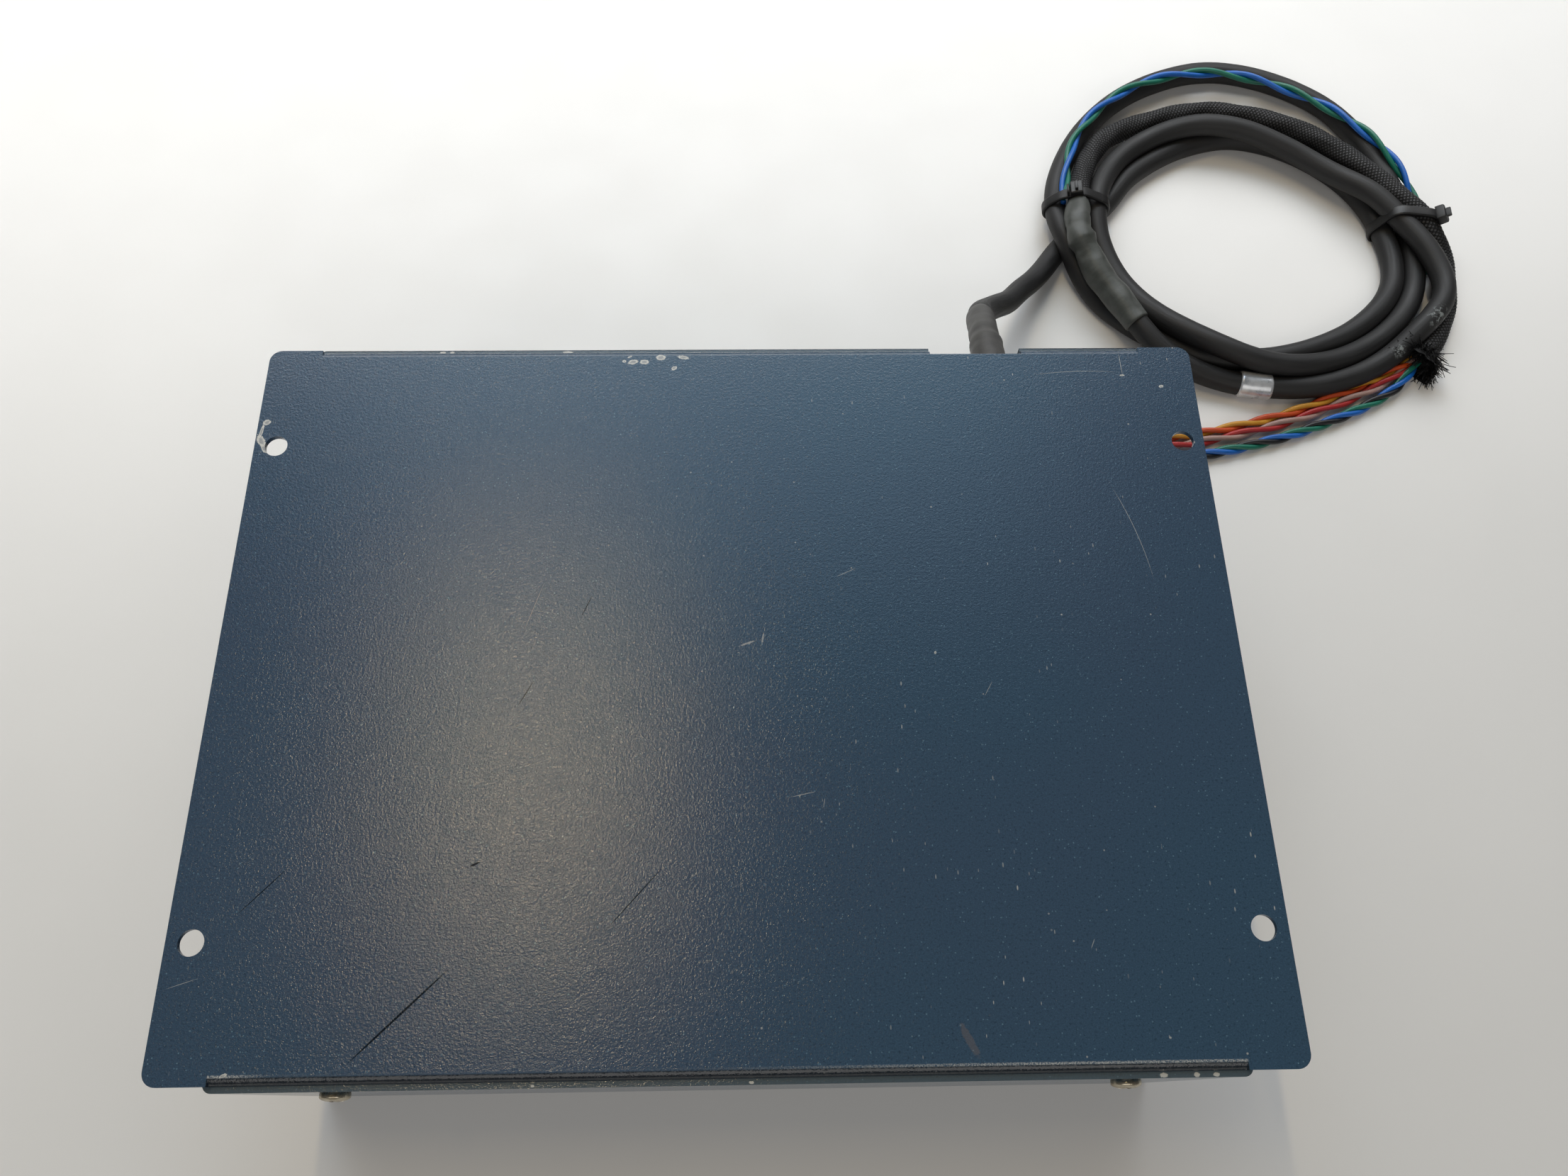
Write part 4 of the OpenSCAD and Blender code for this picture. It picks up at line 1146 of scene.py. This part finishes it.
def tie_loop(angle_degrees, gap):
    """Closed line a tie follows round the strands it gathers, in the plane through the
    coil's middle at that angle."""
    angle = math.radians(angle_degrees)
    outward = np.array((math.cos(angle), math.sin(angle), 0))
    across = np.array((-math.sin(angle), math.cos(angle), 0))
    middle = np.array((*COIL_MID, 0))
    circles = []
    for path, radius in ((CABLE, CABLE_R), (BRAID, CABLE_R), (LOOSE_PAIR, PAIR_R)):
        local = path - middle
        s, reach = local @ across, local @ outward
        for i in np.where((s[:-1] * s[1:] <= 0) & (reach[:-1] > 30 * MM))[0]:
            t = s[i] / (s[i] - s[i + 1])
            p = local[i] * (1 - t) + local[i + 1] * t
            circles.append((p @ outward, p[2], radius))
    turns = np.linspace(0, 2 * math.pi, 36, endpoint=False)
    cloud = [(x + (r + gap) * math.cos(a), max(z + (r + gap) * math.sin(a), gap))
             for x, z, r in circles for a in turns]
    hull = hull_2d(cloud)
    closed = np.vstack([hull, hull[:1]])
    line = evenly(np.column_stack([closed, np.zeros(len(closed))]), 1.2 * MM)[:-1, :2]
    for _ in range(2):
        line = 0.25 * np.roll(line, 1, 0) + 0.5 * line + 0.25 * np.roll(line, -1, 0)
    return middle, outward, across, line


def make_tie(name, angle_degrees, tail_up):
    """Nylon cable tie: band, ratchet head and cut tail."""
    width, thick = 4.8 * MM, 1.2 * MM
    middle, outward, across, line = tie_loop(angle_degrees, 0.1 * MM)
    step = unit(np.roll(line, -1, 0) - np.roll(line, 1, 0))
    normal = np.column_stack([step[:, 1], -step[:, 0]])
    profile = [(-0.5, 0), (-0.5, 0.75), (-0.4, 1), (0.4, 1), (0.5, 0.75), (0.5, 0)]

    def spot(flat, side):
        return middle + flat[0] * outward + np.array((0, 0, flat[1])) + side * across

    verts, faces = [], []
    for flat, out in zip(line, normal):
        for side, lift in profile:
            verts.append(spot(flat + out * lift * thick, side * width))
    n, m = len(line), len(profile)
    for i in range(n):
        for k in range(m):
            a, b = i * m, (i + 1) % n * m
            faces.append((a + k, a + (k + 1) % m, b + (k + 1) % m, b + k))
    facing = (0.75, 0.66) if tail_up else (0.3, 0.95)
    at = int(np.argmax(line @ np.array(facing)))
    base, out, along = line[at], normal[at], step[at]

    def add_block(size, shift, taper):
        """A block of that size in mm, shifted along the band and outwards."""
        long, wide, tall = (c * MM for c in size)
        first = len(verts)
        for lift, scale in ((0, 1), (0.25, 1), (0.9, 0.97), (1, taper)):
            for dx, dy in ((-1, -1), (1, -1), (1, 1), (-1, 1)):
                flat = base + along * (shift[0] * MM + dx * scale * long / 2)
                flat = flat + out * (shift[1] * MM + lift * tall)
                verts.append(spot(flat, dy * scale * wide / 2))
        for r in range(3):
            for k in range(4):
                q = (k + 1) % 4
                faces.append((first + 4 * r + k, first + 4 * r + q, first + 4 * r + 4 + q,
                              first + 4 * r + 4 + k))
        faces.append(tuple(first + k for k in (3, 2, 1, 0)))
        faces.append(tuple(first + 12 + k for k in range(4)))

    add_block((5.6, 6.6, 3.8), (0, 0.5), 0.82)
    add_block((1.3, 4.4, 3.2 if tail_up else 2.6), (0, 3.0), 0.9)
    add_block((1.0, 4.6, 3.4), (-3.6, 0.9), 0.6)
    thing = make_object(name, verts, faces, [FINISH["black_nylon"]])
    soften(thing, 0.3 * MM)
    return place_on(thing, "black_nylon")


def round_edges(bm, width, angle):
    """Round every edge sharper than angle, in degrees. Gives the new faces."""
    sharp = [e for e in bm.edges
             if len(e.link_faces) == 2 and e.calc_face_angle(0) > math.radians(angle)]
    made = bmesh.ops.bevel(bm, geom=sharp, offset=width, segments=2, profile=0.5,
                           affect="EDGES", clamp_overlap=True)
    for face in bm.faces:
        face.smooth = True
    return made["faces"]


def soften(thing, width):
    """Round a made piece's edges, and leave the result in its mesh."""
    bm = bmesh.new()
    bm.from_mesh(thing.data)
    bmesh.ops.recalc_face_normals(bm, faces=bm.faces)
    round_edges(bm, width, 25)
    bm.to_mesh(thing.data)
    bm.free()
    thing.data.set_sharp_from_angle(angle=math.radians(40))


# ---------- rigid pieces ----------


def refined(node, width, paint=None):
    """Piece with a node's shape and every cut edge rounded; the rounded faces carry an
    "edge" value of 1 for worn paint and a painted highlight along the paint's edges."""
    bm = bmesh.new()
    bm.from_mesh(frame["nodes"][node].data)
    layer = bm.faces.layers.float.new("edge")
    bmesh.ops.remove_doubles(bm, verts=bm.verts, dist=2e-6)
    bmesh.ops.dissolve_limit(bm, angle_limit=math.radians(0.6), verts=bm.verts, edges=bm.edges)
    for face in round_edges(bm, width, 30):
        face[layer] = 1.0
    mesh = bpy.data.meshes.new(node + "_shell")
    bm.to_mesh(mesh)
    bm.free()
    slots = NODE_SLOTS[node]
    for slot_name in slots:
        mesh.materials.append(paint or FINISH[slot_name])
    mesh.set_sharp_from_angle(angle=math.radians(38))
    thing = bpy.data.objects.new(mesh.name, mesh)
    bpy.context.scene.collection.objects.link(thing)
    # Shading stays flat on the large faces and turns only over the rounded edges
    weighted = thing.modifiers.new("flat_faces", "WEIGHTED_NORMAL")
    weighted.keep_sharp = True
    weighted.weight = 100
    return place_on(thing, slots[0], node, body=NODE_BODY[node])


def lathe(profile, sides, relief=None):
    """Vertices and faces of a profile of (radius, height) turned round +Z; the first and
    last points sit on the axis. relief(x, y, height) gives a vertex's height."""
    verts, faces = [(0, 0, profile[0][1])], []
    rings = profile[1:-1]
    for radius, height in rings:
        for k in range(sides):
            turn = 2 * math.pi * k / sides
            x, y = radius * math.cos(turn), radius * math.sin(turn)
            verts.append((x, y, relief(x, y, height) if relief else height))
    verts.append((0, 0, relief(0, 0, profile[-1][1]) if relief else profile[-1][1]))
    top = len(verts) - 1
    for k in range(sides):
        m = (k + 1) % sides
        faces.append((0, 1 + m, 1 + k))
        for i in range(len(rings) - 1):
            a, b = 1 + i * sides, 1 + (i + 1) * sides
            faces.append((a + k, a + m, b + m, b + k))
        last = 1 + (len(rings) - 1) * sides
        faces.append((last + k, last + m, top))
    return verts, faces


def turned_piece(name, shape, skin, moves, material):
    """Copies of one lathed shape in one mesh; each move takes a vertex to its place."""
    verts, faces = [], []
    for move in moves:
        first = len(verts)
        verts += [move(v) for v in shape]
        faces += [tuple(first + i for i in face) for face in skin]
    thing = make_object(name, verts, faces, [material])
    thing.data.set_sharp_from_angle(angle=math.radians(35))
    return thing


def pan_screws(node, places, facing, head_r, head_t, shank_r, shank_l):
    """Pan head screws with a cross recess, one at each place, heads towards facing."""
    thread_pitch = 0.35 * MM
    dome = [(head_r * math.sin(a), head_t * (0.45 + 0.55 * math.cos(a)))
            for a in np.linspace(math.pi / 2, 0.05, 18)]
    thread = [(shank_r * (0.82 if i % 2 else 0.98), -shank_l + i * thread_pitch)
              for i in range(1, int(shank_l / thread_pitch))]
    profile = [(0, -shank_l), (shank_r * 0.7, -shank_l), *thread, (shank_r, 0),
               (head_r * 0.96, 0), (head_r, head_t * 0.12), (head_r, head_t * 0.4), *dome,
               (0, head_t)]
    bar, reach, deep = head_r * 0.13, head_r * 0.55, head_t * 0.55

    def recess(x, y, height):
        near, far = min(abs(x), abs(y)), max(abs(x), abs(y))
        if height < head_t * 0.42 or near > bar or far > reach:
            return height
        return height - deep * (1 - 0.55 * far / reach)

    def to_place(place, out):
        turn = Vector(out).to_track_quat("Z", "Y")
        return lambda v: tuple(turn @ Vector(v) + Vector(place))

    shape, skin = lathe(profile, 64, recess)
    moves = [to_place(place, out) for place, out in zip(places, facing)]
    name = node.replace("_screws", "_pan_screws")
    thing = turned_piece(name, shape, skin, moves, FINISH["plated_screw"])
    return place_on(thing, "plated_screw", node)


def corners(low, high, axes, inset):
    """The four corners of a box's face across two axes, moved in by inset."""
    first, second = axes
    return [(a, b) for a in (low[first] + inset, high[first] - inset)
            for b in (low[second] + inset, high[second] - inset)]


def make_screws():
    low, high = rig.box("cover_screws")
    head_r, head_t = 4.1 * MM, 2.4 * MM
    x, y, z = high[0] - head_r, high[1] - head_t, (low[2] + high[2]) / 2
    sides = [(a, b) for a in (-1, 1) for b in (-1, 1)]
    pan_screws("cover_screws", [(a * x, b * y, z) for a, b in sides],
               [(0, b, 0) for a, b in sides], head_r, head_t, 2.1 * MM, 9.6 * MM)
    low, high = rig.box("fan_screws")
    head_r, head_t = 3.6 * MM, 2.2 * MM
    places = [(low[0] + head_t, y, z) for y, z in corners(low, high, (1, 2), head_r)]
    pan_screws("fan_screws", places, [(-1, 0, 0)] * 4, head_r, head_t, 2 * MM, 12 * MM)
    low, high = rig.box("panel_screws")
    head_r, head_t = 2.6 * MM, 1.2 * MM
    places = [(x, y, low[2] + head_t) for x, y in corners(low, high, (0, 1), head_r)]
    pan_screws("panel_screws", places, [(0, 0, -1)] * 4, head_r, head_t, 1.5 * MM, 6 * MM)


def make_contacts():
    """Socket contacts in the faces of both signal connectors."""
    pitch, row = 2.77 * MM, 1.42 * MM
    profile = [(0, -1.2), (0.2, -1.2), (0.42, -1.0), (0.5, 0.1), (0.72, 0.25), (0.78, 0.1),
               (0.8, -0.8), (0, -0.9)]
    shape, skin = lathe([(r * MM, h * MM) for r, h in profile[::-1]], 16)
    face_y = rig.box("connector_inserts")[1][1]

    def to_place(x, z):
        return lambda v: (x + v[0], face_y + v[2], z - v[1])

    moves = []
    for node, long_row in (("command_connector", 13), ("feedback_connector", 8)):
        low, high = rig.box(node)
        mid_x, mid_z = (low[0] + high[0]) / 2, (low[2] + high[2]) / 2
        for count, side in ((long_row, -1), (long_row - 1, 1)):
            for i in range(count):
                moves.append(to_place(mid_x + (i - (count - 1) / 2) * pitch, mid_z + side * row))
    thing = turned_piece("connector_contacts", shape, skin, moves, GOLD)
    return place_on(thing, "brass")


def make_hub_label():
    """Blank round label on the fan's hub, towards the grille."""
    low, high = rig.box("fan_rotor")
    mid_y, mid_z = (low[1] + high[1]) / 2, (low[2] + high[2]) / 2
    thick = 0.12 * MM
    shape, skin = lathe([(0, 0), (11.4 * MM, 0), (11.5 * MM, thick / 2), (11.4 * MM, thick),
                         (0, thick)], 64)
    verts = [(low[0] - thick + v[2], mid_y + v[1], mid_z + v[0]) for v in shape]
    thing = make_object("fan_hub_label", verts, skin, [HUB_FILM])
    return place_on(thing, "label_film", body="fan_rotor")


# Width of the rounded edge of each piece that can be seen from outside, in millimetres
ROUNDED = {
    "back_plate": 0.35, "cover": 0.3, "clinch_nuts": 0.3, "blank_label": 0.08, "front_panel": 0.3,
    "heatsink": 0.25, "power_terminals": 0.35, "terminal_screws": 0.15, "command_connector": 0.2,
    "feedback_connector": 0.2, "connector_inserts": 0.2, "jack_posts": 0.3, "setup_port": 0.3,
    "dip_switch": 0.3, "dip_lever_1": 0.15, "dip_lever_2": 0.15, "dip_lever_3": 0.15,
    "dip_lever_4": 0.15, "address_switch": 0.25, "address_dial": 0.2, "trimmer_bodies": 0.3,
    "trimmer_screw_1": 0.15, "trimmer_screw_2": 0.15, "reset_switch": 0.25, "reset_button": 0.4,
    "fan_housing": 0.4, "fan_rotor": 0.25, "bus_capacitors": 0.8, "control_chips": 0.2,
    "inrush_relay": 0.5, "film_capacitors": 0.6, "control_transformer": 0.4, "cable_clamp": 0.5,
}

# ---------- scene ----------


def make_floor():
    half = 4.0
    corner_points = [(-half, -half, 0), (half, -half, 0), (half, half, 0), (-half, half, 0)]
    thing = make_object("table", corner_points, [(0, 1, 2, 3)], [floor_finish()])
    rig.stage(thing)


# Name, place, what it points at, width and height in metres, watts, colour, spread in degrees
LIGHTS = [
    ("far_softbox", (-0.08, 0.76, 0.48), (-0.05, 0.42, 0), (2.2, 0.5), 4.7, (0.98, 0.99, 1.0), 95),
    ("high_window", (-0.1, 1.2, 1.75), (0, 0.2, 0.1), (1.5, 0.7), 6.0, (0.52, 0.77, 1.0), 180),
    ("ceiling_tube", (-0.43, 0.49, 2.0), (-0.43, 0.49, 0), (0.05, 0.82), 6.3, (1.0, 0.8, 0.5), 180),
    ("room_fill", (0, -1.4, 1.1), (0, -0.1, 0), (1.8, 1.0), 9.5, (1.0, 0.97, 0.93), 180),
]


def area_light(name, place, target, size, power, colour, spread):
    data = bpy.data.lights.new(name, "AREA")
    data.spread = math.radians(spread)
    data.shape = "RECTANGLE"
    data.size, data.size_y = size
    data.energy = power
    data.color = colour
    lamp = bpy.data.objects.new(name, data)
    lamp.location = place
    lamp.rotation_euler = (Vector(target) - Vector(place)).to_track_quat("-Z", "Y").to_euler()
    bpy.context.scene.collection.objects.link(lamp)


def make_light():
    world = bpy.data.worlds.new("studio")
    bpy.context.scene.world = world
    world.use_nodes = True
    background = world.node_tree.nodes["Background"]
    background.inputs["Color"].default_value = (1.0, 0.97, 0.93, 1)
    background.inputs["Strength"].default_value = 0.13
    for light in LIGHTS:
        area_light(*light)
    bpy.context.scene.view_settings.view_transform = "Standard"
    bpy.context.scene.view_settings.look = "None"


def make_cords():
    cable, cable_path = make_cable()
    braid, braid_path = make_braid()
    boot = make_boot()
    breakout = make_breakout()
    marker = make_marker()
    fray = make_fray(braid_path)
    ties = [make_tie("left_cable_tie", TIE_ANGLES[0], False),
            make_tie("right_cable_tie", TIE_ANGLES[1], True)]
    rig.replaces(ties[0], "coil_ties")
    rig.cord(cable, exit=(0.090, 0.112, 0.0813), length=arc_lengths(cable_path)[-1], diameter=0.0095,
            far_end="fitting", stiffness="medium", lay="coiled", path=cable_path,
            with_pieces=[boot, breakout, marker, *ties])
    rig.cord(braid, exit=braid_path[0], length=arc_lengths(braid_path)[-1], diameter=0.0095,
            far_end="bare", stiffness="limp", lay="coiled", path=braid_path, with_pieces=[fray])
    pair, pair_path = twisted("loose_twisted_pair", LOOSE_PAIR, 42 * MM,
                              [WIRE["blue"], WIRE["green"]], 1.22 * MM, 1.2 * MM, 1.2)
    place_on(pair, "wire_insulation")
    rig.cord(pair, exit=pair_path[0], length=arc_lengths(pair_path)[-1], diameter=0.0046,
            far_end="bare", stiffness="limp", lay="coiled", path=pair_path)
    sets = (("orange_pair", 1, ("orange", "yellow"), 30), ("red_pair", 0.2, ("red", "pink"), 34),
            ("blue_triple", -1, ("blue", "green", "black"), 30))
    for name, side, colours, pitch in sets:
        offset = 1.06 * MM if len(colours) == 2 else 1.2 * MM
        wires, path = twisted(name, signal_route(side), pitch * MM, [WIRE[c] for c in colours],
                              1.1 * MM, offset, 0.6 * side)
        stands_for = ["signal_wires"] if name == "red_pair" else []
        place_on(wires, "wire_insulation", *stands_for)
        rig.cord(wires, exit=path[0], length=arc_lengths(path)[-1], diameter=0.0042,
                far_end="bare", stiffness="limp", lay="loose", path=path)


make_camera()
make_cords()
for node_name, carried in frame["nodes"].items():
    for slot_index, slot_name in enumerate(NODE_SLOTS[node_name]):
        carried.data.materials[slot_index] = FINISH[slot_name]
for node_name, width in ROUNDED.items():
    refined(node_name, width * MM, PLATE_PAINT if node_name == "back_plate" else None)
make_screws()
make_contacts()
make_hub_label()
make_floor()
make_light()

with open("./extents.json", "w") as size_file:
    json.dump({"cad": [list(map(float, c)) for c in CAD_BOX],
               "visual": [list(map(float, c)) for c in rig.bounds()]}, size_file)
